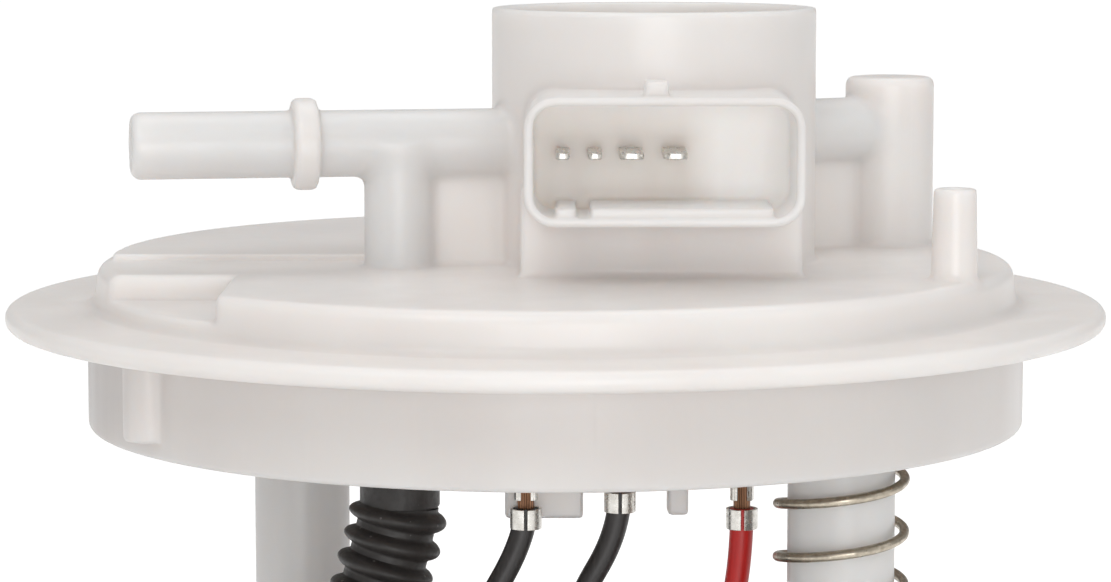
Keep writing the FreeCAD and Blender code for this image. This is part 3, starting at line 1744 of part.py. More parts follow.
arm_centre = -value(arm_x)
float_span = value("float_width")
arm_end = -value("arm_length")
arm_path = route_wire(
    "float_arm",
    [
        (arm_centre, -value("hub_radius / 2 + arm_seat"), 0),
        (arm_centre, arm_end, 0),
        (arm_centre + float_span / 2, arm_end, 0),
    ],
    bends=[value("arm_bend")],
)
float_arm = set_part("float_arm", swept(arm_path, value("arm_radius")))
place(float_arm, *pivot_spot, **arm_turn)
float_channel = set_part("float_channel", swept(arm_path, value("arm_radius + seat_clearance")))
float_body = new_body("float_foam")
float_sketch = new_sketch(float_body, "YZ_Plane", height=f"-{arm_x} - float_width / 2")
draw_outline(
    float_sketch,
    rounded_box_points(
        "(-arm_length - float_length / 2)",
        "(-float_height / 2)",
        "(-arm_length + float_length / 2)",
        "(float_height / 2)",
        "float_corner",
    ),
)
shape_step(float_body, "Pad", float_sketch, "float_width")
float_part = doc.addObject("Part::Cut", "float")
float_part.Base = float_body
float_part.Tool = float_channel
float_part.Label = "float"
place(float_part, *pivot_spot, **arm_turn)

# Sender terminal: a tab on the housing's face with a crimp round the lead.
sender_terminal = new_body("sender_terminal")
lead_offset = "(sender_plate + jacket_crimp_radius)"
tab_low = "(sender_high - pivot_z - terminal_box_length)"
add_block(
    sender_terminal,
    box_points(
        "-sender_plate - terminal_wall", "-terminal_width / 2", "-sender_plate", "terminal_width / 2"
    ),
    tab_low,
    "terminal_box_length",
)
crimp_low = f"({tab_low} + terminal_box_length - jacket_crimp_length)"
add_round(sender_terminal, "jacket_crimp_radius", crimp_low, "jacket_crimp_length", f"-{lead_offset}")
cut_round(
    sender_terminal, "wire_radius + seat_clearance", crimp_low, "jacket_crimp_length", f"-{lead_offset}"
)
place(sender_terminal, *pivot_spot)

# Corrugated delivery hose from the barb under the leg to the pump's nipple.
leg_x, leg_y = value("leg_x"), value("leg_y")
nipple_spot = (value(nipple_x), value("pump_y"))
hose_start = value("barb_tip + hose_grip_upper")
hose_end = value(f"{nipple_top} - hose_grip_lower")
hose_path = route_wire(
    "corrugated_hose",
    [
        (leg_x, leg_y, hose_start),
        (leg_x, leg_y, -18.0),
        (-21.6, -10.0, -32.0),
        (-25.0, -11.5, -47.0),
        (nipple_spot[0] - 1.2, nipple_spot[1] - 0.2, hose_end + 22.0),
        (*nipple_spot, hose_end + 12.0),
        (*nipple_spot, hose_end),
    ],
)
hose_bore = value("nipple_radius + barb_bite + seat_clearance")
set_part("corrugated_hose", swept(hose_path, value("hose_radius"), hose_bore))

# Spring clamps: one round each end of the hose.
for name, x, y, z in (
    ("hose_clamp_upper", "leg_x", "leg_y", "barb_tip + 2 * clamp_height"),
    ("hose_clamp_lower", nipple_x, "pump_y", f"{nipple_top} - 2 * clamp_height"),
):
    clamp = new_body(name)
    add_turned(
        clamp,
        tube_points("hose_radius + seat_clearance", "hose_radius + clamp_wall", 0, "clamp_height"),
    )
    place(clamp, x, y, z)

# Lead wires from the crimp terminals: one to the level sender and two to the pump's plug.
wire_radius = value("wire_radius")
blade_y = value("blade_plane_y")


def terminal_end(name):
    """Where the lead enters the terminal's jacket crimp."""
    low = value("terminal_top - terminal_box_length - core_crimp_length - crimp_gap")
    return low + doc.getObject(name).Placement.Base.z


lead_x, lead_y = value(f"{cup_flat_x} - {lead_offset}"), value("pivot_y")
plug_x, plug_top = value(f"{pump_x} + plug_offset"), value("plug_top")
WIRES = {
    "wire_black_left": [
        (value("tail_1_x"), blade_y, terminal_end("terminal_left")),
        (value("tail_1_x"), blade_y, -23.4),
        (-9.2, -20.5, -33.5),
        (-16.0, -20.8, -45.0),
        (-27.0, -20.4, -52.0),
        (-39.5, -14.0, -52.8),
        (-48.6, -5.5, -54.6),
        (lead_x, lead_y - 2.0, -63.0),
        (lead_x, lead_y, -70.0),
        (lead_x, lead_y, value(f"pivot_z + {crimp_low}")),
    ],
    "wire_black_mid": [
        (value("tail_2_x"), blade_y, terminal_end("terminal_mid")),
        (value("tail_2_x"), blade_y, -22.6),
        (2.4, -20.2, -31.6),
        (-2.0, -17.8, -44.0),
        (-6.8, -15.4, -56.0),
        (plug_x, value("pump_y - pin_spacing / 2"), plug_top + 9.0),
        (plug_x, value("pump_y - pin_spacing / 2"), plug_top),
    ],
    "wire_red": [
        (value("tail_4_x"), blade_y, terminal_end("terminal_right")),
        (value("tail_4_x"), blade_y, -26.4),
        (20.0, -20.0, -36.0),
        (13.5, -17.0, -46.0),
        (3.5, -12.5, -54.0),
        (-5.0, -9.8, -61.0),
        (plug_x, value("pump_y + pin_spacing / 2"), plug_top + 7.0),
        (plug_x, value("pump_y + pin_spacing / 2"), plug_top),
    ],
}
for name, points in WIRES.items():
    set_part(name, swept(route_wire(name, points), wire_radius))

# Each sub-part is checked before any file is written.
NODES = (
    ["flange_cover"]
    + [f"blade_{index}" for index in BLADE_WIDTHS]
    + list(terminals)
    + ["guide_post_left", "guide_post_right", "post_stop_clips", "load_spring", "reservoir_cup"]
    + ["fill_valve", "reservoir_lid", "pump_case", "outlet_cover", "pump_pins", "pump_plug"]
    + ["check_valve_plunger", "check_valve_spring", "relief_valve_ball", "relief_valve_cap"]
    + ["relief_valve_spring", "carbon_brushes", "brush_springs", "motor_shaft", "commutator"]
    + ["armature_core", "armature_windings", "field_magnets", "channel_plate", "impeller"]
    + ["inlet_cover", "upper_bearing", "lower_bearing", "pump_isolator", "pump_holder"]
    + ["strainer_neck", "strainer_sock", "sender_housing", "resistor_card", "wiper_hub", "hub_clip"]
    + ["wiper_contact", "float_arm", "float", "sender_terminal", "corrugated_hose"]
    + ["hose_clamp_upper", "hose_clamp_lower"]
    + list(WIRES)
)
doc.recompute()
for item in doc.Objects:
    if "Invalid" in item.State or "Error" in item.State:
        raise ValueError(f"{item.Label} failed: {item.State}")
labelled = {item.Label: item for item in doc.Objects}
for name in NODES:
    shape = labelled[name].Shape
    if shape.isNull() or not shape.isValid() or not shape.Solids:
        raise ValueError(f"{name} has no valid solid")
for name in NODES:
    labelled[name].Shape.exportStep(f"parts/{name}.step")
print(len(NODES), "sub-parts written")
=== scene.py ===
import json
import math

import bmesh
import bpy
import numpy as np
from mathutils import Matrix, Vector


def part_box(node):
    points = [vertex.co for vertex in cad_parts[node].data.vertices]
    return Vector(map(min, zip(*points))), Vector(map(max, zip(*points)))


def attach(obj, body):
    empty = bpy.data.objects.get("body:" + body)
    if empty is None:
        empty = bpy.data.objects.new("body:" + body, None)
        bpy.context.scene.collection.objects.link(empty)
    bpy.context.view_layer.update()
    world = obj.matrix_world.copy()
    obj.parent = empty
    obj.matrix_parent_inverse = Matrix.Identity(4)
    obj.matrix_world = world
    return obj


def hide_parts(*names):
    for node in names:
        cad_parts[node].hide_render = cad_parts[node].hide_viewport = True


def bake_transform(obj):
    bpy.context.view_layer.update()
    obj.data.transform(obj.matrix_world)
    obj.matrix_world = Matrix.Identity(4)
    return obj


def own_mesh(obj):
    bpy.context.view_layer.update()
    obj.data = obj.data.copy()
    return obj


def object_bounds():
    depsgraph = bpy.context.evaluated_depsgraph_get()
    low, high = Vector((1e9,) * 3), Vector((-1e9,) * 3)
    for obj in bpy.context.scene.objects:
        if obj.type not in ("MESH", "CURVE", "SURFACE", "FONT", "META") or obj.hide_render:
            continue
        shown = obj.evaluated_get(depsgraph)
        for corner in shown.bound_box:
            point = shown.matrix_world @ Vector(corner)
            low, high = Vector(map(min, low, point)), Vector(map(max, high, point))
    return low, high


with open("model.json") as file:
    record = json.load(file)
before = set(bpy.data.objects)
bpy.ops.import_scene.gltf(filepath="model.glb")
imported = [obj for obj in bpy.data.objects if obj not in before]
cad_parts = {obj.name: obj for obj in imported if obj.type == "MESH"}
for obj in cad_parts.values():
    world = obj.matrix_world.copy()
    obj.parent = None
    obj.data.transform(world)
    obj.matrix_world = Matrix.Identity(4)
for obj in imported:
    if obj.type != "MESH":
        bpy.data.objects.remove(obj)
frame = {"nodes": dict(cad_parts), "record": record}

import openvdb
from mathutils import Matrix, Vector, noise

MM = 0.001
bodies = frame["record"]["behaviour"]["bodies"]
body_of = {node: body for body, nodes in bodies.items() for node in nodes}
cad_bounds = [list(corner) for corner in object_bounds()]

# Studio: a white paper sweep under the module, four soft lamps round it, and a camera in front, a little
# above the cover's disc. Seen from below, the paper is clear, so the underside can be looked at too.
scene = bpy.context.scene
scene.view_settings.view_transform = "Standard"
EYE = Vector((0, -443.07, 53.64)) * MM
EYE_PITCH = math.radians(6.463)
LENS = 117.5
FLOOR_REACH = 30.0
PAPER_WHITE, PAPER_GLOW, SKY_LIGHT = 0.86, 0.66, 0.45


def put(name, data):
    """An object in the scene that shows the given data."""
    made = bpy.data.objects.new(name, data)
    scene.collection.objects.link(made)
    return made


eye = put("camera", bpy.data.cameras.new("camera"))
eye.location = EYE
eye.rotation_euler = (math.pi / 2 - EYE_PITCH, 0, 0)
eye.data.lens = LENS
eye.data.clip_start, eye.data.clip_end = 0.01, 100
scene.camera = eye


def feed(socket, source):
    """Link a source to a socket, or set the socket to a plain value."""
    if isinstance(source, bpy.types.NodeSocket):
        socket.id_data.links.new(source, socket)
    else:
        socket.default_value = source


def nodes_in(tree, prefix="ShaderNode"):
    """A function that adds a node to the tree, with its settings and its inputs by place or by name."""
    def add(kind, *inputs, named=None, **settings):
        node = tree.nodes.new(prefix + kind)
        for key, setting in settings.items():
            setattr(node, key, setting)
        for key, source in [*enumerate(inputs), *(named or {}).items()]:
            feed(node.inputs[key], source)
        return node

    return add


def calc(add, operation, *values, **settings):
    """The result of one arithmetic node."""
    return add("Math", *values, operation=operation, **settings).outputs[0]


def shader(name, metal=0.0):
    """A new material with its shader node and a helper that adds nodes to it."""
    made = bpy.data.materials.new(name)
    made.use_nodes = True
    principled = made.node_tree.nodes["Principled BSDF"]
    principled.inputs["Metallic"].default_value = metal
    return made, principled, nodes_in(made.node_tree)


def in_millimetres(add, stretch=(1, 1, 1)):
    """Object coordinates in millimetres, squeezed along the axes that a pattern is drawn out on."""
    scale = [size / MM for size in stretch]
    return add("Mapping", add("TexCoord").outputs["Object"], named={"Scale": scale}).outputs[0]


def grain(add, cells, detail=2.0, stretch=(1, 1, 1)):
    """Noise with the given number of cells to a millimetre."""
    named = {"Scale": cells, "Detail": detail}
    return add("TexNoise", in_millimetres(add, stretch), named=named).outputs[0]


def bands(add, direction, scale, distortion=0.0, stretch=(1, 1, 1)):
    """Parallel bands across the given axis."""
    named = {"Scale": scale, "Distortion": distortion}
    place = in_millimetres(add, stretch)
    return add("TexWave", place, named=named, wave_type="BANDS", bands_direction=direction).outputs[1]


def spread(add, factor, low, high, start=0.3, end=0.7):
    """A noise value carried over to the range from low to high."""
    return add("MapRange", factor, start, end, low, high).outputs[0]


def tint(add, factor, first, second):
    """One colour turning into another as the factor goes from zero to one."""
    first, second = ((*source, 1) if isinstance(source, tuple) else source for source in (first, second))
    return add("Mix", named={0: factor, 6: first, 7: second}, data_type="RGBA").outputs[2]


def finish_with(add, principled, colour, roughness, relief, depth):
    """Feed a surface its colour, its roughness and a relief whose depth is in millimetres."""
    feed(principled.inputs["Base Color"], colour)
    feed(principled.inputs["Roughness"], roughness)
    bump = add("Bump", named={"Strength": 1.0, "Distance": depth * MM, "Height": relief})
    feed(principled.inputs["Normal"], bump.outputs[0])


def grained(name, first, second, gloss, cells, detail, depth, stretch=(1, 1, 1), cloud=None, metal=0.0):
    """A material with one noise in its gloss, relief and colour, or with a wider noise in its colour."""
    made, principled, add = shader(name, metal)
    fine = grain(add, cells, detail, stretch)
    wide = grain(add, *cloud) if cloud else fine
    colour = tint(add, spread(add, wide, 0, 1), first, second)
    finish_with(add, principled, colour, spread(add, fine, *gloss), fine, depth)
    return made


backdrop, principled, add = shader("sweep_paper")
principled.inputs["Base Color"].default_value = (PAPER_WHITE, PAPER_WHITE, PAPER_WHITE, 1)
principled.inputs["Roughness"].default_value = 0.9
principled.inputs["Specular IOR Level"].default_value = 0.1
path = add("LightPath").outputs
looks = calc(add, "MAXIMUM", path["Is Camera Ray"], path["Is Glossy Ray"])
looks = calc(add, "MAXIMUM", looks, path["Is Transmission Ray"])
glow = add("Emission", (1, 1, 1, 1), PAPER_GLOW)
nothing = add("Emission", (0, 0, 0, 1), 0.0)
lift = add("MixShader", looks, nothing.outputs[0], glow.outputs[0])
total = add("AddShader", principled.outputs[0], lift.outputs[0])
from_below = add("NewGeometry").outputs["Backfacing"]
open_below = add("MixShader", from_below, total.outputs[0], add("BsdfTransparent").outputs[0])
feed(backdrop.node_tree.nodes["Material Output"].inputs[0], open_below.outputs[0])
edge, height = FLOOR_REACH, cad_bounds[0][2]
floor_mesh = bpy.data.meshes.new("floor")
floor_mesh.from_pydata(
    [(-edge, -edge, height), (edge, -edge, height), (edge, edge, height), (-edge, edge, height)],
    [], [(0, 1, 2, 3)],
)
floor = put("floor", floor_mesh)
floor_mesh.materials.append(backdrop)

scene.world = bpy.data.worlds.new("studio")
scene.world.use_nodes = True
sky = scene.world.node_tree
add = nodes_in(sky)
ambient = sky.nodes["Background"]
ambient.inputs["Color"].default_value = (1, 0.99, 0.98, 1)
ambient.inputs["Strength"].default_value = SKY_LIGHT
seen = add("Background", (1, 1, 1, 1), 1.0)
path = add("LightPath").outputs
either = calc(add, "MAXIMUM", path["Is Camera Ray"], path["Is Transmission Ray"])
mixed = add("MixShader", either, ambient.outputs[0], seen.outputs[0])
feed(sky.nodes["World Output"].inputs[0], mixed.outputs[0])

for name, place, aim, width, depth, power in (
    ("key_lamp", (-0.3, -0.65, 0.75), -0.02, 0.6, 0.6, 2.7),
    ("side_lamp", (0.75, -0.35, 0.35), -0.03, 0.5, 0.7, 0.95),
    ("top_lamp", (0.0, 0.25, 0.9), 0, 0.9, 0.6, 2.2),
    ("front_lamp", (0.05, -0.95, 0.04), 0, 0.5, 0.4, 2.3),
):
    lamp = put(name, bpy.data.lights.new(name, "AREA"))
    lamp.data.shape = "RECTANGLE"
    lamp.data.size, lamp.data.size_y = width, depth
    lamp.data.energy = power
    lamp.location = place
    lamp.rotation_euler = (Vector((0, 0, aim)) - Vector(place)).to_track_quat("-Z", "Y").to_euler()

# Flange cover: one injection moulding in natural, slightly translucent acetal. The mould fillets every
# corner, so the cover is made as a field of distances, joined form by form, and then meshed.
CELL = 0.38
LOW, HIGH = (-68.4, -68.4, -23.4), (68.4, 68.4, 39.6)
PAST_AXIS = -4.0
ARC_STEPS = 6
MARGIN = 2 * CELL + 1.6
axes = [np.arange(low, high, CELL, dtype=np.float32) for low, high in zip(LOW, HIGH)]


def outline_distance(u, v, points):
    """Signed distance to a closed outline of points, negative inside it."""
    nearest = np.full(np.broadcast(u, v).shape, 1e6, np.float32)
    inside = np.zeros(nearest.shape, bool)
    for (u1, v1), (u2, v2) in zip(points, points[1:] + points[:1]):
        du, dv = u2 - u1, v2 - v1
        along = np.clip(((u - u1) * du + (v - v1) * dv) / (du * du + dv * dv), 0, 1)
        nearest = np.minimum(nearest, (u - u1 - along * du) ** 2 + (v - v1 - along * dv) ** 2)
        if dv:
            inside ^= ((v1 <= v) != (v2 <= v)) & (u < (v - v1) * du / dv + u1)
    return np.sqrt(nearest) * np.where(inside, -1, 1)


def rounded(corners):
    """Points of an outline whose corners are (u, v) or, where an arc rounds them, (u, v, radius)."""
    made = []
    for index, (*corner, radius) in enumerate((*corner, 0)[:3] for corner in corners):
        if not radius:
            made.append(tuple(corner))
            continue
        here = Vector(corner)
        back = (Vector(corners[index - 1][:2]) - here).normalized()
        ahead = (Vector(corners[(index + 1) % len(corners)][:2]) - here).normalized()
        half = back.angle(ahead) / 2
        centre = here + (back + ahead).normalized() * radius / math.sin(half)
        start = here + back * radius / math.tan(half) - centre
        end = here + ahead * radius / math.tan(half) - centre
        turn = start.angle_signed(end)
        for step in range(ARC_STEPS + 1):
            angle = -turn * step / ARC_STEPS
            cosine, sine = math.cos(angle), math.sin(angle)
            swung = Vector((start.x * cosine - start.y * sine, start.x * sine + start.y * cosine))
            made.append(tuple(centre + swung))
    return made


def joined(a, b, fillet):
    """Material of either form, with a fillet in the corner between them."""
    reach = np.maximum(fillet - np.abs(a - b), 0)
    return np.minimum(a, b) - reach * reach / (4 * fillet)


def mould(form, fillet=0.9, cut=False, edge=0.35):
    """Join a form to the cover or cut it out. A form is its distance and its lowest and highest corner."""
    distance, lowest, highest = form
    spans = tuple(
        slice(max(int((start - MARGIN - base) / CELL), 0), int((end + MARGIN - base) / CELL) + 2)
        for start, end, base in zip(lowest, highest, LOW)
    )
    x, y, z = (axis[span] for axis, span in zip(axes, spans))
    away = distance(x[:, None, None], y[None, :, None], z[None, None, :]).astype(np.float32)
    if cut:
        field[spans] = -joined(-field[spans], away, edge)
    else:
        field[spans] = joined(field[spans], away, fillet)


def bar(radius, low, high, low_edge=0, high_edge=0):
    """The outline of a round bar as (radius, height) corners, from past its axis outward."""
    return [(PAST_AXIS, low), (radius, low, low_edge), (radius, high, high_edge), (PAST_AXIS, high)]


def turned(corners, x=0.0, y=0.0):
    """An outline of (radius, height) corners turned about the vertical line through x, y."""
    points = rounded(corners)
    (reach, top), foot = map(max, zip(*points)), min(z for _, z in points)

    def distance(px, py, pz):
        return outline_distance(np.hypot(px - x, py - y), pz, points)

    return distance, (x - reach, y - reach, foot), (x + reach, y + reach, top)


def lying(corners, start, heading):
    """An outline of (radius, run) corners turned about a level line from start."""
    points = rounded(corners)
    reach = max(out for out, _ in points)
    ends = [[start[axis] + heading[axis] * run for _, run in points] for axis in (0, 1)]

    def distance(x, y, z):
        along = (x - start[0]) * heading[0] + (y - start[1]) * heading[1]
        aside = -(x - start[0]) * heading[1] + (y - start[1]) * heading[0]
        return outline_distance(np.hypot(aside, z - start[2]), along, points)

    lowest = (*(min(places) - reach for places in ends), start[2] - reach)
    return distance, lowest, (*(max(places) + reach for places in ends), start[2] + reach)


def block(low, high, corner=0.4, turn=0.0, about=(0.0, 0.0)):
    """A box with round edges, given before it is turned about a vertical line."""
    centre = [(a + b) / 2 for a, b in zip(low, high)]
    half = [(b - a) / 2 - corner for a, b in zip(low, high)]
    cosine, sine = math.cos(turn), math.sin(turn)

    def distance(x, y, z):
        u = (x - about[0]) * cosine + (y - about[1]) * sine + about[0]
        v = -(x - about[0]) * sine + (y - about[1]) * cosine + about[1]
        off = [np.abs(value - mid) - size for value, mid, size in zip((u, v, z), centre, half)]
        beyond = sum(np.maximum(item, 0) ** 2 for item in off)
        return np.sqrt(beyond) + np.minimum(np.maximum(np.maximum(off[0], off[1]), off[2]), 0) - corner

    swung = [
        ((u - about[0]) * cosine - (v - about[1]) * sine + about[0],
         (u - about[0]) * sine + (v - about[1]) * cosine + about[1])
        for u in (low[0], high[0]) for v in (low[1], high[1])
    ]
    return distance, (*map(min, zip(*swung)), low[2]), (*map(max, zip(*swung)), high[2])


def window(left, right, low, high, corner, front, back, edge):
    """A rectangle with round corners in X and Z, run along Y."""
    mid_x, mid_y, mid_z = (left + right) / 2, (front + back) / 2, (low + high) / 2
    half_x, half_y, half_z = (right - left) / 2 - corner, (back - front) / 2, (high - low) / 2 - corner

    def across(a, b, radius):
        return np.hypot(np.maximum(a, 0), np.maximum(b, 0)) + np.minimum(np.maximum(a, b), 0) - radius

    def distance(x, y, z):
        flat = across(np.abs(x - mid_x) - half_x, np.abs(z - mid_z) - half_z, corner)
        return across(flat + edge, np.abs(y - mid_y) - half_y + edge, edge)

    return distance, (left, front, low), (right, back, high)


# The disc, skirt and plateau are one turned shell, 2.5 mm thick and thinner at the skirt, stiffened by
# the fillet where the skirt meets the disc.
RIM, RIM_TOP, SKIRT, SKIRT_FOOT, SKIRT_WALL = 67.0, 2.5, 57.15, -12.1, 1.8
PLATEAU, PLATEAU_TOP, PLATEAU_DRAFT, SKIN = 56.3, 7.5, 0.6, 2.5
UNDERSIDE = PLATEAU_TOP - SKIN
TABLE_STEP = 0.05
shell = rounded([
    (5 * PAST_AXIS, UNDERSIDE), (PLATEAU - SKIN, UNDERSIDE, 1.2), (SKIRT - SKIRT_WALL, SKIRT_FOOT, 0.4),
    (SKIRT, SKIRT_FOOT, 0.5), (SKIRT, 0, 0.6), (RIM, 0, 1.15), (RIM, RIM_TOP, 1.15),
    (PLATEAU, RIM_TOP, 1.3), (PLATEAU - PLATEAU_DRAFT, PLATEAU_TOP, 1.5), (5 * PAST_AXIS, PLATEAU_TOP),
])
reach = np.arange(0, RIM * 1.5, TABLE_STEP, dtype=np.float32)
table = outline_distance(reach[:, None], axes[2][None, :], shell).astype(np.float32)
from_axis = np.hypot(axes[0][:, None], axes[1][None, :]) / TABLE_STEP
nearer = from_axis.astype(int)
share = (from_axis - nearer)[:, :, None]
field = (table[nearer] * (1 - share) + table[nearer + 1] * share).astype(np.float32)

# Front left, the plateau is stepped down, with its own floor below. Back left, it carries a low raised
# land. Both end at the plateau's round edge.
NOTCH_BACK, NOTCH_SIDE, NOTCH_FLOOR = -19.0, -38.0, 4.5
LAND_FRONT, LAND_RIGHT, LAND_RISE = -3.0, -8.0, 0.8
OUTSIDE, ROOT = 90.0, 6.0


def in_plateau(form, inset):
    """The share of a form that lies inside the plateau's edge."""
    distance, lowest, highest = form
    return lambda x, y, z: np.maximum(distance(x, y, z), np.hypot(x, y) - PLATEAU + inset), lowest, highest


notch_floor = block(
    (-OUTSIDE, -OUTSIDE, NOTCH_FLOOR - SKIN), (NOTCH_SIDE + SKIN, NOTCH_BACK + SKIN, ROOT), 0.3)
mould(in_plateau(notch_floor, 1.2), fillet=0.3)
mould(block((-OUTSIDE, -OUTSIDE, NOTCH_FLOOR), (NOTCH_SIDE, NOTCH_BACK, 20), 0.4), cut=True, edge=0.8)
land = block((-OUTSIDE, LAND_FRONT, ROOT), (LAND_RIGHT, OUTSIDE, PLATEAU_TOP + LAND_RISE), 0.35)
mould(in_plateau(land, 2.2), fillet=0.4)

# Locating boss on the skirt, return column, small post with a sink mark, regulator cup, and the leg with
# the two barbs that hold the hose.
COLLAR_X, COLLAR, COLLAR_WALL, COLLAR_TOP = 12.0, 19.76, 1.7, 38.3
SEAT_TOP, SEAT_WIDTH, COLLAR_FLOOR = 17.0, 2.0, 9.5
COLUMN, COLUMN_RADIUS, COLUMN_TOP, SPOUT = (42.5, 18.0), 5.6, 28.9, -9.0
POST, POST_RADIUS, POST_TOP, POST_FOOT, SINK = (46.3, -24.5), 2.65, 18.2, 5.5, 1.6
BOSS, BOSS_RADIUS, BOSS_FOOT, BOSS_TOP = (-46.3, -33.0), 3.1, -10.0, 1.2
LEG, LEG_RADIUS, PIPE, PIPE_Z = (-18.85, -9.5), 4.1, 4.0, 22.4
BARB, BARB_TIP, BITE = 3.5, -17.0, 0.35
mould(turned(bar(BOSS_RADIUS, BOSS_FOOT, BOSS_TOP, 0.4), *BOSS), fillet=0.6)
mould(turned(bar(COLLAR, UNDERSIDE, COLLAR_TOP, 0, 0.35), COLLAR_X), fillet=1.2)
mould(turned([
    (PAST_AXIS, SPOUT), (PIPE, SPOUT, 0.4), (PIPE, ROOT), (COLUMN_RADIUS, ROOT),
    (COLUMN_RADIUS, COLUMN_TOP, 1.0), (PAST_AXIS, COLUMN_TOP),
], *COLUMN), fillet=1.0)
mould(turned([
    (PAST_AXIS, POST_FOOT), (POST_RADIUS + 0.1, POST_FOOT), (POST_RADIUS - 0.15, POST_TOP, 0.35),
    (SINK, POST_TOP, 0.2), (SINK - 0.4, POST_TOP - 0.45, 0.3), (PAST_AXIS, POST_TOP - 0.6),
], *POST))
mould(turned([
    (PAST_AXIS, BARB_TIP), (BARB - BITE, BARB_TIP, 0.3), (BARB + BITE, BARB_TIP + 2, 0.1),
    (BARB, BARB_TIP + 2.1), (BARB, BARB_TIP + 5), (BARB + BITE, BARB_TIP + 7, 0.1), (BARB, BARB_TIP + 7.1),
    (BARB, ROOT), (LEG_RADIUS, ROOT), (LEG_RADIUS, PIPE_Z), (PAST_AXIS, PIPE_Z),
], *LEG))

# Fuel pipe with the bead of its quick-connect end, the return pipe, and a thin web under each.
PIPE_TURN = math.radians(10.5)
TOWARDS_TIP = (-math.cos(PIPE_TURN), -math.sin(PIPE_TURN))
PIPE_REACH, BEAD_SETBACK, BEAD, BEAD_HALF, WEB, IN_CUP = 32.0, 20.7, 5.5, 1.5, 2.2, 9.0
inward, bead_run = COLLAR_X - LEG[0], PIPE_REACH - BEAD_SETBACK
pipe_start, cup_centre = (*LEG, PIPE_Z), (COLLAR_X, 0, PIPE_Z)
return_way = Vector((COLUMN[0] - COLLAR_X, COLUMN[1]))
return_turn, return_heading = math.atan2(return_way.y, return_way.x), tuple(return_way.normalized())
mould(lying([
    (PAST_AXIS, -inward), (PAST_AXIS, PIPE_REACH), (PIPE, PIPE_REACH, 1.2),
    (PIPE, bead_run + BEAD_HALF, 0.35), (BEAD, bead_run + BEAD_HALF, 0.7),
    (BEAD, bead_run - BEAD_HALF, 0.7), (PIPE, bead_run - BEAD_HALF, 0.35), (PIPE, -inward),
], pipe_start, TOWARDS_TIP), fillet=1.3)
pipe_web = (LEG[0], LEG[1] - WEB / 2, UNDERSIDE), (COLLAR_X - 5, LEG[1] + WEB / 2, PIPE_Z)
mould(block(*pipe_web, 0.1, PIPE_TURN, LEG), fillet=0.8)
mould(lying(bar(PIPE, IN_CUP, return_way.length), cup_centre, return_heading), fillet=1.1)
return_web = (COLLAR_X + IN_CUP, -WEB / 2, UNDERSIDE), (COLLAR_X + return_way.length, WEB / 2, PIPE_Z)
mould(block(*return_web, 0.1, return_turn, (COLLAR_X, 0)), fillet=0.8)

# Wiring socket on its base block: a thin shroud with a ledge, a keying slot and a latch lug. It is cored
# from the front down to the wall that holds the blades.
SOCKET_X, SOCKET_WIDTH, SOCKET_LOW, SOCKET_HIGH, SOCKET_ROOT = 12.4, 32.0, 14.5, 29.3, -5.0
SOCKET_FRONT, SOCKET_BACK, SOCKET_CORNER, SOCKET_WALL = -34.0, -22.3, 3.6, 1.05
BASE_TOP, BASE_OVERLAP = 18.1, 0.5
LEDGE, KEY_X, KEY_WIDTH = 1.1, 3.15, 1.7
LUG_X, LUG_WIDTH, LUG_HEIGHT, LUG_LENGTH = 11.5, 2.7, 1.7, 5.0
left, right = SOCKET_X - SOCKET_WIDTH / 2, SOCKET_X + SOCKET_WIDTH / 2
floor_z, roof_z = SOCKET_LOW + SOCKET_WALL, SOCKET_HIGH - SOCKET_WALL
ledge_top, lug_front = floor_z + LEDGE, SOCKET_FRONT + 1
socket_base = (left - BASE_OVERLAP, SOCKET_BACK, UNDERSIDE), (right + BASE_OVERLAP, SOCKET_ROOT, BASE_TOP)
mould(block(*socket_base, 0.5))
mould(window(left, right, SOCKET_LOW, SOCKET_HIGH, SOCKET_CORNER, SOCKET_FRONT, SOCKET_ROOT, 0.3))
core = window(
    left + SOCKET_WALL, right - SOCKET_WALL, floor_z, roof_z, SOCKET_CORNER - SOCKET_WALL,
    SOCKET_FRONT - 9, SOCKET_BACK, 0.4)
ledge = block(
    (left + SOCKET_CORNER, SOCKET_FRONT + 0.6, SOCKET_LOW + 0.3),
    (right - SOCKET_CORNER, SOCKET_BACK + 1, ledge_top), 0.2)
key = block(
    (KEY_X - KEY_WIDTH / 2, SOCKET_FRONT - 2, floor_z),
    (KEY_X + KEY_WIDTH / 2, SOCKET_BACK, ledge_top + 1), 0.15)
lug = block(
    (LUG_X - LUG_WIDTH / 2, lug_front, SOCKET_HIGH - 0.6),
    (LUG_X + LUG_WIDTH / 2, lug_front + LUG_LENGTH, SOCKET_HIGH + LUG_HEIGHT), 0.3)
mould(core, cut=True, edge=0.25)
mould(ledge, fillet=0.3)
mould(key, cut=True, edge=0.15)
mould(lug, fillet=0.4)

# Under the plateau: the carrier of the blades, two tabs between the terminals, and the sockets that the
# guide posts are glued into.
BLADE_PLANE, CARRIER_HALF, CARRIER_DROP = -20.6, 3.4, 4.8
TAB_FRONT, TAB = BLADE_PLANE + 2.8, 2.0
POST_SOCKET, POST_SOCKET_FOOT, SPIGOT, SPIGOT_TOP = 8.6, -8.0, 4.02, 0.8
carrier = (-7, BLADE_PLANE - CARRIER_HALF, -CARRIER_DROP), (26, BLADE_PLANE + CARRIER_HALF, ROOT)
mould(block(*carrier, 0.5), fillet=0.8)
for start, end, depth, foot in ((-6, 3.3, TAB, -21.8), (13.3, 15.8, 2 * TAB, -21.4)):
    mould(block((start, TAB_FRONT, foot), (end, TAB_FRONT + depth, ROOT), 0.35), fillet=0.6)


def cad_box(node):
    """The lowest and the highest corner of a CAD piece, in millimetres."""
    return [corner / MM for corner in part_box(node)]


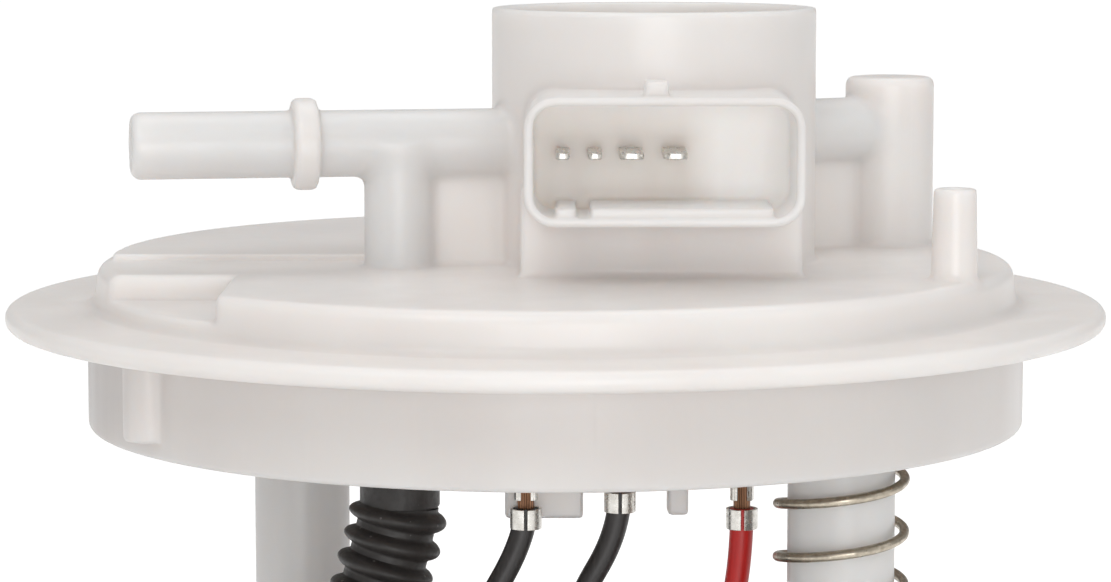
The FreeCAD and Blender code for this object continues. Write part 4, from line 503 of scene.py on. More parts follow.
post_centres = [tuple(sum(cad_box(f"guide_post_{side}"), Vector()) / 2)[:2] for side in ("left", "right")]
for x, y in post_centres:
    mould(turned(bar(POST_SOCKET, POST_SOCKET_FOOT, ROOT, 0.4), x, y), fillet=0.8)
    mould(turned(bar(SPIGOT, POST_SOCKET_FOOT - 4, SPIGOT_TOP), x, y), cut=True, edge=0.15)

# Bores: the stepped regulator cup, the pipe, the leg and the return column. Each is cut last, so that it
# runs clear through the forms that meet there.
BORE = 2.5
inner = COLLAR - COLLAR_WALL
mould(turned([
    (PAST_AXIS, COLLAR_FLOOR), (inner - SEAT_WIDTH, COLLAR_FLOOR, 0.8), (inner - SEAT_WIDTH, SEAT_TOP, 0.3),
    (inner, SEAT_TOP, 0.5), (inner, COLLAR_TOP + 3), (PAST_AXIS, COLLAR_TOP + 3),
], COLLAR_X), cut=True, edge=0.7)
mould(lying(bar(BORE, -inward / 2, PIPE_REACH + 3), pipe_start, TOWARDS_TIP), cut=True, edge=0.5)
mould(turned(bar(BORE, BARB_TIP - 3, PIPE_Z), *LEG), cut=True, edge=0.3)
mould(lying(bar(BORE, IN_CUP, return_way.length), cup_centre, return_heading), cut=True, edge=0.3)
mould(turned(bar(BORE, SPOUT - 3, PIPE_Z), *COLUMN), cut=True, edge=0.3)
COVER_FACES, FIELD_LIMIT, SLOPE_STEP = 190000, 2.0, 0.6


def sampled(spots):
    """The field between its cells, at fractional places."""
    spots = np.clip(spots, 0, np.array(field.shape) - 1.001)
    whole = spots.astype(int)
    part = spots - whole
    total = 0
    for step in np.ndindex(2, 2, 2):
        weight = np.prod(np.where(step, part, 1 - part), axis=1)
        total = total + weight * field[tuple((whole + step).T)]
    return total


def field_mesh(name):
    """Mesh the surface where the field is zero, thin it out, and take its normals from the field."""
    grid = openvdb.FloatGrid(FIELD_LIMIT)
    grid.copyFromArray(np.clip(field, -FIELD_LIMIT, FIELD_LIMIT))
    points, triangles, quads = grid.convertToPolygons(isovalue=0.0, adaptivity=0.0)
    mesh = bpy.data.meshes.new(name)
    corners = [tuple(face) for face in triangles] + [tuple(face) for face in quads]
    mesh.from_pydata((points * CELL + np.array(LOW)) * MM, [], corners)
    made = put(name, mesh)
    thin = made.modifiers.new("thin", "DECIMATE")
    thin.ratio = min(1.0, COVER_FACES / (2 * len(quads) + len(triangles)))
    plain_mesh(made)
    places = np.zeros(len(made.data.vertices) * 3, np.float32)
    made.data.vertices.foreach_get("co", places)
    spots = (places.reshape(-1, 3) / MM - np.array(LOW)) / CELL
    ways = np.eye(3) * SLOPE_STEP
    normals = np.stack([sampled(spots + way) - sampled(spots - way) for way in ways], axis=1)
    normals /= np.linalg.norm(normals, axis=1, keepdims=True) + 1e-9
    made.data.shade_smooth()
    made.data.normals_split_custom_set_from_vertices(normals.tolist())
    return made


def plain_mesh(piece):
    """The piece's modifiers made part of its mesh."""
    evaluated = piece.evaluated_get(bpy.context.evaluated_depsgraph_get())
    finished = bpy.data.meshes.new_from_object(evaluated)
    finished.name = piece.name
    piece.modifiers.clear()
    piece.data = finished
    return piece


# The cover's acetal is cloudy, with faint flow marks. Light and shade are painted into its colour: painted
# light inside the socket, painted shade behind and under the blades, on the socket's front rim and on the
# skirt, where less light passes through the wall, most at the skirt's left end.
flange_cover = field_mesh("cover_moulding")
acetal, principled, add = shader("natural_acetal")
drag = grain(add, 0.16, 3.0, (1, 1, 0.12))
cloud = grain(add, 0.05)
place = add("SeparateXYZ", in_millimetres(add)).outputs


def zone(start=1.0, **spans):
    """A mask that fades out at the ends of each axis's span, given as low, high and softness."""
    for axis, (low, high, soft) in spans.items():
        rise = add("MapRange", place[axis.upper()], low - soft, low + soft, 0.0, 1.0).outputs[0]
        fall = add("MapRange", place[axis.upper()], high - soft, high + soft, 1.0, 0.0).outputs[0]
        start = calc(add, "MULTIPLY", start, calc(add, "MULTIPLY", rise, fall))
    return start


back_wall = zone(y=(SOCKET_BACK - 1.0, SOCKET_BACK + 0.6, 0.15))
skirt_wall = zone(z=(SKIRT_FOOT - 1.0, -0.2, 0.15))
# Painted light: the inside of the socket gets a paler colour in place of the light that reaches it.
socket_painted_light = zone(
    x=(left + SOCKET_WALL - 0.3, right - SOCKET_WALL + 0.3, 0.15),
    y=(SOCKET_FRONT + 1.2, SOCKET_BACK + 0.6, 0.4), z=(floor_z - 0.3, roof_z + 0.3, 0.15),
)
# Painted shade behind the blades: a patchy, darker yellowish tint on the socket's back wall.
behind_blades = zone(back_wall, x=(-2.5, 17.0, 2.0), z=(16.0, 26.0, 2.0))
tail_shade = calc(add, "MULTIPLY", behind_blades, spread(add, cloud, 0.24, 0.36))
painted_light_and_shade = [(socket_painted_light, 1.0, (0.93, 0.91, 0.895)), (tail_shade, 1.0, (0.52, 0.45, 0.36))]
# Painted shadow under each blade, on the socket's back wall.
for index in (1, 2, 3, 4):
    low, high = cad_box(f"blade_{index}")
    under = zone(back_wall, x=(low.x, high.x, 0.35), z=(16.6, low.z + 0.4, 0.8))
    painted_light_and_shade.append((under, 0.22, (0.33, 0.31, 0.26)))
# Painted shade along the upper part of the socket's front rim.
rim_painted_shade = zone(y=(SOCKET_FRONT - 1, SOCKET_FRONT + 1.4, 0.5), z=(22, 40, 5.0))
# Painted shade on the skirt, heavier at its left end.
painted_light_and_shade += [
    (rim_painted_shade, 0.3, (0.50, 0.48, 0.47)), (skirt_wall, 0.2, (0.45, 0.43, 0.42)),
    (zone(skirt_wall, x=(-70.0, -51.5, 3.5)), 0.55, (0.40, 0.38, 0.37)),
]
base = tint(add, spread(add, cloud, 0, 1), (0.79, 0.755, 0.735), (0.83, 0.80, 0.78))
for mask, share, colour in painted_light_and_shade:
    base = tint(add, calc(add, "MULTIPLY", mask, share), base, colour)
finish_with(add, principled, base, spread(add, drag, 0.28, 0.42), drag, 0.05)
principled.inputs["Subsurface Weight"].default_value = 0.85
principled.inputs["Subsurface Radius"].default_value = (1.0, 0.85, 0.75)
principled.inputs["Subsurface Scale"].default_value = 0.0045
flange_cover.data.materials.append(acetal)
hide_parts("flange_cover")
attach(flange_cover, "cover")

# Contact blades: stamped from tinned brass strip with coined tips. They are moulded in side by side, and
# their tails come out under the cover.
MESH_WELD, MESH_SLIVER, FLAT_ANGLE = 0.002, 0.001, math.radians(0.6)


def settle(piece, material, slot, body, *nodes):
    """Give a piece its material and body, and hide the nodes that it stands for. The slot is not used."""
    piece.data.materials.clear()
    piece.data.materials.append(material)
    for polygon in piece.data.polygons:
        polygon.material_index = 0
    if nodes:
        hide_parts(*nodes)
    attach(piece, body)
    return piece


def moulded(node, name, width, material, slot, segments=2, angle=28):
    """A finer copy of a moulded or turned piece, with the edges that its tool or its mould leaves."""
    mesh = frame["nodes"][node].data.copy()
    mesh.name = name
    form = bmesh.new()
    form.from_mesh(mesh)
    bmesh.ops.remove_doubles(form, verts=form.verts, dist=MESH_WELD * MM)
    bmesh.ops.dissolve_degenerate(form, edges=form.edges, dist=MESH_SLIVER * MM)
    bmesh.ops.dissolve_limit(
        form, angle_limit=FLAT_ANGLE, verts=form.verts, edges=form.edges, delimit={"NORMAL"})
    form.to_mesh(mesh)
    form.free()
    piece = put(name, mesh)
    edges = piece.modifiers.new("edges", "BEVEL")
    edges.width, edges.segments = width * MM, segments
    edges.limit_method, edges.angle_limit = "ANGLE", math.radians(angle)
    piece.modifiers.new("faces", "WEIGHTED_NORMAL").keep_sharp = True
    mesh.shade_smooth()
    return settle(plain_mesh(piece), material, slot, body_of[node], node)


tinned = grained(
    "tinned_strip", (0.76, 0.745, 0.71), (0.56, 0.54, 0.50), (0.2, 0.38), 3.0, 3.0, 0.01,
    stretch=(1, 0.08, 1), cloud=(0.9, 3.0), metal=1.0,
)
for index in (1, 2, 3, 4):
    moulded(f"blade_{index}", f"contact_blade_{index}", 0.16, tinned, "tinned_brass", segments=3)

# Crimp terminals: one folded stamping each. A box grips the blade's tail, two wings are rolled into the
# bare strands and two more close round the insulation, with their seam to the front.
SHEET, JACKET_GRIP, CORE_GRIP, SPINE_HALF = 0.34, 1.72, 1.25, 0.8
BOX_LENGTH, GRIP_GAP, CORE_LENGTH, JACKET_LENGTH = 8.6, 1.2, 3.2, 2.4
BOX_X, BOX_Y, BOX_BEND, SEAM, LAP = 1.8 - SHEET / 2, 1.6 - SHEET / 2, 0.45, 0.12, 0.22
CURL_X, CURL_Y, CURL, CURL_END, STAMPED_EDGE = 0.62, -0.55, 0.42, 0.18, 0.06
STRANDS_FOOT, STRANDS_TOP, STRANDS_SINK = 1.0, 1.05, 0.3


def folded_strip(form, path, low, high):
    """Add a strip of sheet, folded along an open path in plan, between two heights."""
    sides = []
    for sign in (1, -1):
        row = []
        for index, (x, y) in enumerate(path):
            before, after = Vector(path[max(index - 1, 0)]), Vector(path[min(index + 1, len(path) - 1)])
            ahead = (after - before).normalized()
            row.append((x - ahead.y * sign * SHEET / 2, y + ahead.x * sign * SHEET / 2))
        sides.append(row)
    ring = sides[0] + sides[1][::-1]
    lower, upper = ([form.verts.new((x * MM, y * MM, z * MM)) for x, y in ring] for z in (low, high))
    count = len(ring)
    for index in range(count):
        after = (index + 1) % count
        form.faces.new((lower[index], lower[after], upper[after], upper[index]))
    for index in range(len(path) - 1):
        quad = (index, index + 1, count - 2 - index, count - 1 - index)
        form.faces.new([lower[corner] for corner in quad[::-1]])
        form.faces.new([upper[corner] for corner in quad])


def arc(x, y, radius, start, end, steps=14):
    """Points on an arc, with its angles in degrees."""
    turns = [math.radians(start + (end - start) * step / steps) for step in range(steps + 1)]
    return [(x + radius * math.cos(turn), y + radius * math.sin(turn)) for turn in turns]


def placed(name, form, sharp):
    """An object in the scene from a finished form, smooth up to the given angle."""
    mesh = bpy.data.meshes.new(name)
    form.to_mesh(mesh)
    form.free()
    mesh.shade_smooth()
    mesh.set_sharp_from_angle(angle=math.radians(sharp))
    return put(name, mesh)


strands, principled, add = shader("bare_strands", 1.0)
lay = bands(add, "X", 1.6, 0.6, (1, 1, 0.25))
finish_with(add, principled, tint(add, lay, (0.40, 0.21, 0.12), (0.10, 0.05, 0.03)), 0.4, lay, 0.1)
for name in ("terminal_left", "terminal_mid", "terminal_right"):
    low, high = cad_box(name)
    x, y, top = (low.x + high.x) / 2, (low.y + high.y) / 2, high.z
    box_path = [(x - SEAM, y - BOX_Y)]
    for side_x, side_y, start in ((1, -1, -90), (1, 1, 0), (-1, 1, 90), (-1, -1, 180)):
        bend_x, bend_y = side_x * (BOX_X - BOX_BEND), side_y * (BOX_Y - BOX_BEND)
        box_path += arc(x + bend_x, y + bend_y, BOX_BEND, start, start + 90, 4)
    box_path.append((x - LAP, y - BOX_Y))
    core_top = top - BOX_LENGTH - GRIP_GAP
    jacket_top = core_top - CORE_LENGTH
    jacket_foot = jacket_top - JACKET_LENGTH
    back = y + JACKET_GRIP - SHEET / 2
    wings = [
        (x + CURL_END, y + 0.1), *arc(x + CURL_X, y + CURL_Y, CURL, 150, 0, 5)[:-1],
        *arc(x, y + 0.25, CORE_GRIP, -72, 252, 18)[1:-1],
        *arc(x - CURL_X, y + CURL_Y, CURL, 180, 30, 5)[1:], (x - CURL_END, y + 0.1),
    ]
    form = bmesh.new()
    folded_strip(form, box_path, top - BOX_LENGTH + 0.3, top)
    folded_strip(form, [(x - SPINE_HALF, back), (x + SPINE_HALF, back)], jacket_foot, top - BOX_LENGTH + 0.4)
    folded_strip(form, wings, jacket_top + GRIP_GAP * 0.8, core_top)
    folded_strip(form, arc(x, y, JACKET_GRIP, -84, 264, 26), jacket_foot, jacket_top)
    form.normal_update()
    piece = placed(name + "_stamping", form, 40)
    edges = piece.modifiers.new("edges", "BEVEL")
    edges.width, edges.segments, edges.limit_method = STAMPED_EDGE * MM, 2, "ANGLE"
    settle(plain_mesh(piece), tinned, "tinned_brass", "cover", name)
    bare = CORE_LENGTH + GRIP_GAP
    form = bmesh.new()
    bmesh.ops.create_cone(
        form, cap_ends=True, segments=24, depth=bare * MM,
        radius1=STRANDS_FOOT * MM, radius2=STRANDS_TOP * MM,
        matrix=Matrix.Translation(Vector((x, y + 0.1, jacket_top + bare / 2 - STRANDS_SINK)) * MM),
    )
    settle(placed(name + "_strands", form, 40), strands, "copper", "cover")

# Lead wires: stranded wire in extruded insulation. The sweep that makes them also makes the coils and,
# with swelling rings, the hose.
WIRE_RADIUS, WIRE_STEP = 1.4, 0.7
RING_LIFT, RING_BLUNTNESS = 0.45, 0.55
SENDER_LEAD = (-50.95, 4.0)
PLUG_TOP, PLUG_X, PLUG_Y, PIN_HALF = -75.0, -8.0, -12.0, 2.5


def sweep_tree():
    """A tree that runs a round section along a curve, with its radius swelling once in every pitch."""
    tree = bpy.data.node_groups.new("round_sweep", "GeometryNodeTree")
    for name, kind in (
        ("Path", "Geometry"), ("Radius", "Float"), ("Swell", "Float"), ("Pitch", "Float"),
        ("Step", "Float"), ("Sides", "Int"), ("Finish", "Material"),
    ):
        tree.interface.new_socket(name, in_out="INPUT", socket_type="NodeSocket" + kind)
    tree.interface.new_socket("Mesh", in_out="OUTPUT", socket_type="NodeSocketGeometry")
    given = tree.nodes.new("NodeGroupInput").outputs
    add, arithmetic = nodes_in(tree, "GeometryNode"), nodes_in(tree)

    even = add("ResampleCurve", named={"Curve": given["Path"], "Length": given["Step"]}, mode="LENGTH")
    turns = calc(arithmetic, "DIVIDE", add("SplineParameter").outputs["Length"], given["Pitch"])
    phase = calc(arithmetic, "MULTIPLY_ADD", turns, 2 * math.pi, math.pi)
    above = calc(arithmetic, "ADD", calc(arithmetic, "COSINE", phase), RING_LIFT)
    share = calc(arithmetic, "DIVIDE", above, 1 + RING_LIFT, use_clamp=True)
    ridge = calc(arithmetic, "POWER", share, RING_BLUNTNESS)
    swollen = calc(arithmetic, "MULTIPLY_ADD", ridge, given["Swell"], given["Radius"])
    sized = add("SetCurveRadius", named={"Curve": even.outputs[0], "Radius": swollen})
    section = add("CurvePrimitiveCircle", named={"Resolution": given["Sides"], "Radius": 1.0})
    skin = add("CurveToMesh", named={
        "Curve": sized.outputs[0], "Profile Curve": section.outputs[0], "Scale": swollen, "Fill Caps": True})
    whole = add("RealizeInstances", skin.outputs[0])
    painted = add("SetMaterial", named={"Geometry": whole.outputs[0], "Material": given["Finish"]})
    feed(tree.nodes.new("NodeGroupOutput").inputs[0], painted.outputs[0])
    return tree


def swept(name, points, smooth, **values):
    """A round section run along a smooth cord, or along a coil's short steps, kept as a plain mesh."""
    curve = bpy.data.curves.new(name, "CURVE")
    curve.dimensions = "3D"
    curve.resolution_u = 12
    spline = curve.splines.new("NURBS" if smooth else "POLY")
    spline.points.add(len(points) - 1)
    for point, place in zip(spline.points, points):
        point.co = (*(Vector(place) * MM), 1)
    if smooth:
        spline.order_u = 3
        spline.use_endpoint_u = True
    cord = put(name, curve)
    modifier = cord.modifiers.new("grown", "NODES")
    modifier.node_group = round_sweep
    for item in round_sweep.interface.items_tree:
        if item.name in values:
            modifier[item.identifier] = values[item.name]
    mesh = bpy.data.meshes.new_from_object(cord.evaluated_get(bpy.context.evaluated_depsgraph_get()))
    bpy.data.objects.remove(cord)
    mesh.name = name
    mesh.shade_smooth()
    mesh.set_sharp_from_angle(angle=math.radians(50))
    return put(name, mesh)


def jacket(name, base, worn):
    """Insulation with the fine lines that extrusion leaves."""
    return grained(name, base, worn, (0.34, 0.5), 2.2, 3.0, 0.02, stretch=(1, 1, 0.12))


round_sweep = sweep_tree()
black_jacket = jacket("black_insulation", (0.014, 0.012, 0.012), (0.032, 0.029, 0.028))
red_jacket = jacket("red_insulation", (0.46, 0.006, 0.005), (0.58, 0.014, 0.011))
leads = {
    "wire_black_left": (
        black_jacket, "black_jacket", (-40, -14, -52),
        [(-3.5, -20.6, -20), (-3.5, -20.6, -23.4), (-9.2, -20.5, -33.5), (-16, -20.8, -45),
         (-27, -20.4, -52), (-39.5, -14, -52.8), (-48.6, -5.5, -54.6), (-50.95, 2, -63),
         (*SENDER_LEAD, -70), (*SENDER_LEAD, -77.4)],
    ),
    "wire_black_mid": (
        black_jacket, "black_jacket", (-8, -14.5, -66),
        [(7.6, -20.6, -18), (7.6, -20.6, -22.6), (2.4, -20.2, -31.6), (-2, -17.8, -44), (-6.8, -15.4, -56),
         (PLUG_X, PLUG_Y - PIN_HALF, -66), (PLUG_X, PLUG_Y - PIN_HALF, PLUG_TOP)],
    ),
    "wire_red": (
        red_jacket, "red_jacket", (-8, -9.5, -68),
        [(22, -20.6, -20), (22, -20.6, -26.4), (20, -20, -36), (13.5, -17, -46), (3.5, -12.5, -54),
         (-5, -9.8, -61), (PLUG_X, PLUG_Y + PIN_HALF, -68), (PLUG_X, PLUG_Y + PIN_HALF, PLUG_TOP)],
    ),
}
for name, (material, slot, far, points) in leads.items():
    piece = swept(
        name + "_jacket", points, True, Radius=WIRE_RADIUS * MM, Swell=0.0, Pitch=1.0, Step=WIRE_STEP * MM,
        Sides=24, Finish=material,
    )
    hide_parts(name)
    near = Vector(points[0]) - Vector((0, 0, 2))
    Vector(far) * MM
    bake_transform(piece)

# Guide posts: moulded tubes glued into the cover's sockets. An open ring of spring wire is sprung into
# the groove at each lower end, and stops the reservoir there.
for side in ("left", "right"):
    moulded(f"guide_post_{side}", f"{side}_guide_post", 0.3, acetal, "acetal")
spring_steel = grained(
    "drawn_spring_wire", (0.50, 0.45, 0.37), (0.33, 0.29, 0.23), (0.24, 0.42), 1.4, 4.0, 0.01, metal=1.0)
moulded("post_stop_clips", "stop_rings", 0.18, spring_steel, "spring_steel")

# Load spring: drawn steel wire round the right post, with closed ends. It pushes the reservoir down onto
# the tank's floor.
COIL, COIL_WIRE, COIL_PITCH, COIL_PHASE = 7.325, 0.575, 6.2, 218.0
COIL_LOW, COIL_HIGH, CLOSING_TURN, STEPS, SLIDE = -55.0, -8.0, 1.1, 40, 30.0


def coil(name, node, x, y, radius, wire, low, high, pitch, closing, sides, phase=0.0):
    """A coil that keeps its pitch in the middle and closes up over its last turns."""
    bottom, top = low + wire, high - wire
    half, reach, middle = (top - bottom) / pitch / 2, (top - bottom) / 2, (top + bottom) / 2
    turn, rise, upper = 0.0, 0.0, []
    while rise < reach - 1e-6:
        rest = (half - closing - turn) / closing
        slope = pitch if rest > 0 else max(2.1 * wire, pitch * (1 + rest))
        turn += 1 / STEPS
        rise = min(rise + slope / STEPS, reach)
        upper.append((turn, rise))
    points = []
    for turn, rise in [*((-turn, -rise) for turn, rise in upper[::-1]), (0.0, 0.0), *upper]:
        angle = math.radians(phase) + 2 * math.pi * (half + turn)
        points.append((x + radius * math.cos(angle), y + radius * math.sin(angle), middle + rise))
    piece = swept(
        name, points, False, Radius=wire * MM, Swell=0.0, Pitch=1.0, Step=wire * 0.9 * MM, Sides=sides,
        Finish=spring_steel,
    )
    return settle(piece, spring_steel, "spring_steel", body_of[node], node)


load_spring = coil(
    "load_coil", "load_spring", *post_centres[1], COIL, COIL_WIRE, COIL_LOW, COIL_HIGH, COIL_PITCH,
    CLOSING_TURN, 16, COIL_PHASE,
)
Vector((*post_centres[1], COIL_HIGH)) * MM
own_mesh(load_spring)

# Delivery hose: black rubber bellows between two plain cuffs, pushed over the leg's barb and the pump's
# nipple. The lower cuff goes with the pump.
HOSE_TOP, BELLOWS_TOP, BELLOWS_FOOT, CUFF_MOUTH, HOSE_FOOT = -5.0, -21.3, -73.5, -73.6, -82.0
CUFF, CUFF_GRIP, CUFF_BORE, CUFF_EDGE, CUFF_SIDES = 4.85, 5.58, 3.95, 0.35, 64
RIDGE, RIDGE_ROOT, RIDGE_PITCH, NIPPLE = 6.0, 4.75, 3.2, (-24.0, -12.0)
SPECK_SIZE = 0.10
black_rubber, principled, add = shader("moulded_rubber")
dust = add("TexVoronoi", in_millimetres(add), named={"Scale": 0.55}, feature="F1").outputs[0]
cloud = spread(add, grain(add, 0.35, 3.0), 0, 1)
base = tint(add, cloud, (0.020, 0.018, 0.017), (0.036, 0.032, 0.030))
base = tint(add, calc(add, "LESS_THAN", dust, SPECK_SIZE), base, (0.11, 0.10, 0.095))
gloss = spread(add, grain(add, 1.5, 3.0), 0.42, 0.62)
finish_with(add, principled, base, gloss, grain(add, 4.0), 0.02)
principled.inputs["Specular IOR Level"].default_value = 0.45


def cuff(name, x, y, body, profile):
    """A turned sleeve of rubber from its (radius, height) corners, open at both ends."""
    ends = (CUFF_BORE, profile[0][1]), (CUFF_BORE, profile[-1][1])
    outline = rounded([ends[0], *((radius, z, CUFF_EDGE) for radius, z in profile), ends[1]])
    form = bmesh.new()
    rings = []
    for step in range(CUFF_SIDES):
        angle = 2 * math.pi * step / CUFF_SIDES
        spots = [(x + radius * math.cos(angle), y + radius * math.sin(angle), z) for radius, z in outline]
        rings.append([form.verts.new([value * MM for value in spot]) for spot in spots])
    for ring, following in zip(rings, rings[1:] + rings[:1]):
        for index in range(len(outline)):
            after = (index + 1) % len(outline)
            form.faces.new((ring[index], following[index], following[after], ring[after]))
    bmesh.ops.recalc_face_normals(form, faces=form.faces)
    settle(placed(name, form, 42), black_rubber, "black_rubber", body, "corrugated_hose")


cuff("hose_upper_cuff", *LEG, "cover", [
    (CUFF, BELLOWS_TOP - 0.4), (CUFF, -12.4), (CUFF_GRIP, -11.8), (CUFF_GRIP, -7.2),
    (CUFF_GRIP - 0.1, HOSE_TOP)])
cuff("hose_lower_cuff", *NIPPLE, "reservoir", [
    (CUFF_GRIP, HOSE_FOOT), (CUFF_GRIP, CUFF_MOUTH - 2.0), (CUFF, CUFF_MOUTH - 1.4), (CUFF, CUFF_MOUTH)])
hose_route = [
    (*LEG, BELLOWS_TOP), (-19.3, -9.6, -24.5), (-21.8, -10, -33), (-25, -11.5, -47), (-25.2, -12.2, -60),
    (*NIPPLE, -69.0), (*NIPPLE, BELLOWS_FOOT),
]
bellows = swept(
    "hose_bellows", hose_route, True, Radius=RIDGE_ROOT * MM, Swell=(RIDGE - RIDGE_ROOT) * MM,
    Pitch=RIDGE_PITCH * MM, Step=0.2 * MM, Sides=56, Finish=black_rubber,
)
settle(bellows, black_rubber, "black_rubber", "cover", "corrugated_hose")
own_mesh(bellows)

# Hose clamps: stepless bands of bright steel, one round each cuff. Each has a pressed ear on the side
# that a tool can reach.
bright_steel = grained(
    "bright_steel", (0.60, 0.60, 0.59), (0.46, 0.46, 0.46), (0.2, 0.36), 2.4, 3.0, 0.01,
    stretch=(0.15, 0.15, 1), metal=1.0,
)
for side in ("upper", "lower"):
    moulded(f"hose_clamp_{side}", f"{side}_clamp_band", 0.12, bright_steel, "bright_steel")

# Reservoir: a moulded swirl pot with guide sleeves, its lid snapped over four lugs, and a rubber disc
# that lets fuel in through the floor and keeps it there.
moulded("reservoir_cup", "reservoir_pot", 0.45, acetal, "acetal")
moulded("reservoir_lid", "reservoir_cover", 0.4, acetal, "acetal")
moulded("fill_valve", "fill_valve_disc", 0.2, black_rubber, "black_rubber")

# Pump holder: a moulded acetal cage that stands in the reservoir, with a rubber cup inside that keeps
# the pump's hum from the tank.
moulded("pump_holder", "pump_cage", 0.3, acetal, "acetal")
moulded("pump_isolator", "pump_rubber_cup", 0.35, black_rubber, "black_rubber")

# Pump case: a drawn steel tube, zinc plated and yellow passivated, with its ends rolled over the two
# covers.
case_steel = grained(
    "plated_case", (0.52, 0.50, 0.43), (0.62, 0.62, 0.60), (0.22, 0.36), 1.6, 2.0, 0.01,
    stretch=(0.2, 0.2, 1), cloud=(0.35, 4.0), metal=0.9,
)
moulded("pump_case", "pump_tube", 0.25, case_steel, "case_steel")

# Pump covers, channel plate and impeller: dark mouldings in glass-filled phenolic and polyphenylene
# sulphide, which keep their size in hot fuel.
pump_plastic = grained(
    "glass_filled_plastic", (0.035, 0.030, 0.026), (0.075, 0.066, 0.056), (0.36, 0.55), 1.2, 4.0, 0.02)
for node, name, width in (
    ("outlet_cover", "pump_outlet_cover", 0.3), ("inlet_cover", "pump_inlet_cover", 0.25),
    ("channel_plate", "pump_channel_plate", 0.1), ("impeller", "turbine_wheel", 0.06),
):
    moulded(node, name, width, pump_plastic, "pump_plastic")

# Pump plug and its pins: a black two-way connector body, pushed over two tinned pins in the pump's
# upper cover.
dark_plastic = grained(
    "black_moulding", (0.020, 0.020, 0.021), (0.034, 0.033, 0.033), (0.38, 0.5), 3.5, 2.0, 0.015,
    cloud=(0.3, 2.0),
)
moulded("pump_plug", "pump_plug_body", 0.35, dark_plastic, "sender_plastic")
moulded("pump_pins", "pump_contact_pins", 0.08, tinned, "tinned_brass")

# Valves in the pump's cover: an acetal plunger, a steel ball under a drilled cap, and their coils.
THIN_WIRE, THIN_PITCH, THIN_CLOSING, THIN_SIDES = 0.25, 1.4, 0.6, 12
moulded("check_valve_plunger", "check_plunger", 0.12, acetal, "acetal")
moulded("relief_valve_ball", "relief_ball", 0.02, bright_steel, "bright_steel", angle=60)
moulded("relief_valve_cap", "relief_cap", 0.08, tinned, "tinned_brass")


def small_coil(name, node, x, y, radius, low, high):
    """A light coil of thin wire, which fills the given outer radius and height."""
    mean, wire = radius - THIN_WIRE, THIN_WIRE * 0.96
    return coil(name, node, x, y, mean, wire, low, high, THIN_PITCH, THIN_CLOSING, THIN_SIDES)


for valve, travel in (("check_valve", 2.0), ("relief_valve", 1.0)):
    low, high = cad_box(valve + "_spring")
    x, y, length = (low.x + high.x) / 2, (low.y + high.y) / 2, high.z - low.z
    piece = small_coil(valve + "_coil", valve + "_spring", x, y, (high.x - low.x) / 2, low.z, high.z)
    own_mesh(piece)

# Brushes: square blocks of pressed carbon that run on the commutator, each pushed down by a small coil
# of its own.
carbon = grained(
    "pressed_carbon", (0.018, 0.018, 0.020), (0.055, 0.055, 0.060), (0.4, 0.6), 5.0, 3.0, 0.03)
moulded("carbon_brushes", "motor_brushes", 0.15, carbon, "carbon")
low, high = cad_box("brush_springs")
x, half = (low.x + high.x) / 2, (high.x - low.x) / 2
for label, y in (("front", low.y + half), ("rear", high.y - half)):
    small_coil(f"brush_coil_{label}", "brush_springs", x, y, half, low.z, high.z)

# Motor: ferrite magnet shells, a slotted iron core with varnished copper windings, a copper commutator
# and a ground shaft in two sintered bearings.
copper, principled, add = shader("enamelled_copper", 0.85)
strand = bands(add, "Z", 0.55, 1.5)
finish_with(add, principled, tint(add, strand, (0.52, 0.20, 0.08), (0.70, 0.32, 0.14)), 0.3, strand, 0.15)
ferrite = grained(
    "ferrite", (0.035, 0.036, 0.040), (0.060, 0.060, 0.064), (0.55, 0.55), 3.0, 2.0, 0.02, cloud=(1.0, 4.0))
core_iron, principled, add = shader("stacked_iron", 0.9)
sheets = bands(add, "Z", 0.63)
finish_with(add, principled, tint(add, sheets, (0.20, 0.19, 0.18), (0.34, 0.33, 0.32)), 0.42, sheets, 0.05)
for node, name, width, material, slot in (
    ("field_magnets", "magnet_shells", 0.2, ferrite, "ferrite"),
    ("armature_core", "armature_stack", 0.06, core_iron, "core_iron"),
    ("armature_windings", "armature_coils", 0.3, copper, "copper"),
    ("commutator", "commutator_disc", 0.08, copper, "copper"),
    ("motor_shaft", "ground_shaft", 0.12, bright_steel, "bright_steel"),
    ("upper_bearing", "upper_bush", 0.1, core_iron, "core_iron"),
    ("lower_bearing", "lower_bush", 0.1, core_iron, "core_iron"),
):
    moulded(node, name, width, material, slot)

# Strainer: a flat bag of woven polyester, welded all round its edge and puffed by the spacer inside,
# on a moulded neck that grips the pump's inlet.
SOCK_CORNER, WELD_WIDTH, WELD_HALF, PUFF_RUN, PUFF_SHAPE = 9.0, 2.4, 0.42, 9.5, 0.85
RINGS, ROUND, CREASE, CORNER_BLEND = 26, 240, 0.22, 5
WIDE_FOLDS, SMALL_FOLDS = (0.17, 3.0), (0.5, 8.0)
moulded("strainer_neck", "strainer_collar", 0.3, acetal, "acetal")
sock_fabric, principled, add = shader("woven_polyester")
weave = calc(add, "MULTIPLY", bands(add, "X", 0.55, 0.25), bands(add, "Y", 0.55, 0.25))
finish_with(
    add, principled, tint(add, weave, (0.30, 0.29, 0.26), (0.66, 0.645, 0.60)),
    spread(add, weave, 0.9, 0.62, 0.1, 0.9), weave, 0.14,
)
principled.inputs["Subsurface Weight"].default_value = 0.25
principled.inputs["Subsurface Scale"].default_value = 0.001
principled.inputs["Sheen Weight"].default_value = 0.2
low, high = cad_box("strainer_sock")
middle, half = (low + high) / 2, (high - low) / 2


def fold(place, size):
    """How far the cloth is creased at a place, for folds of a given size."""
    cells, seed = size
    return noise.noise(Vector((place.x * cells, place.y * cells, seed)))


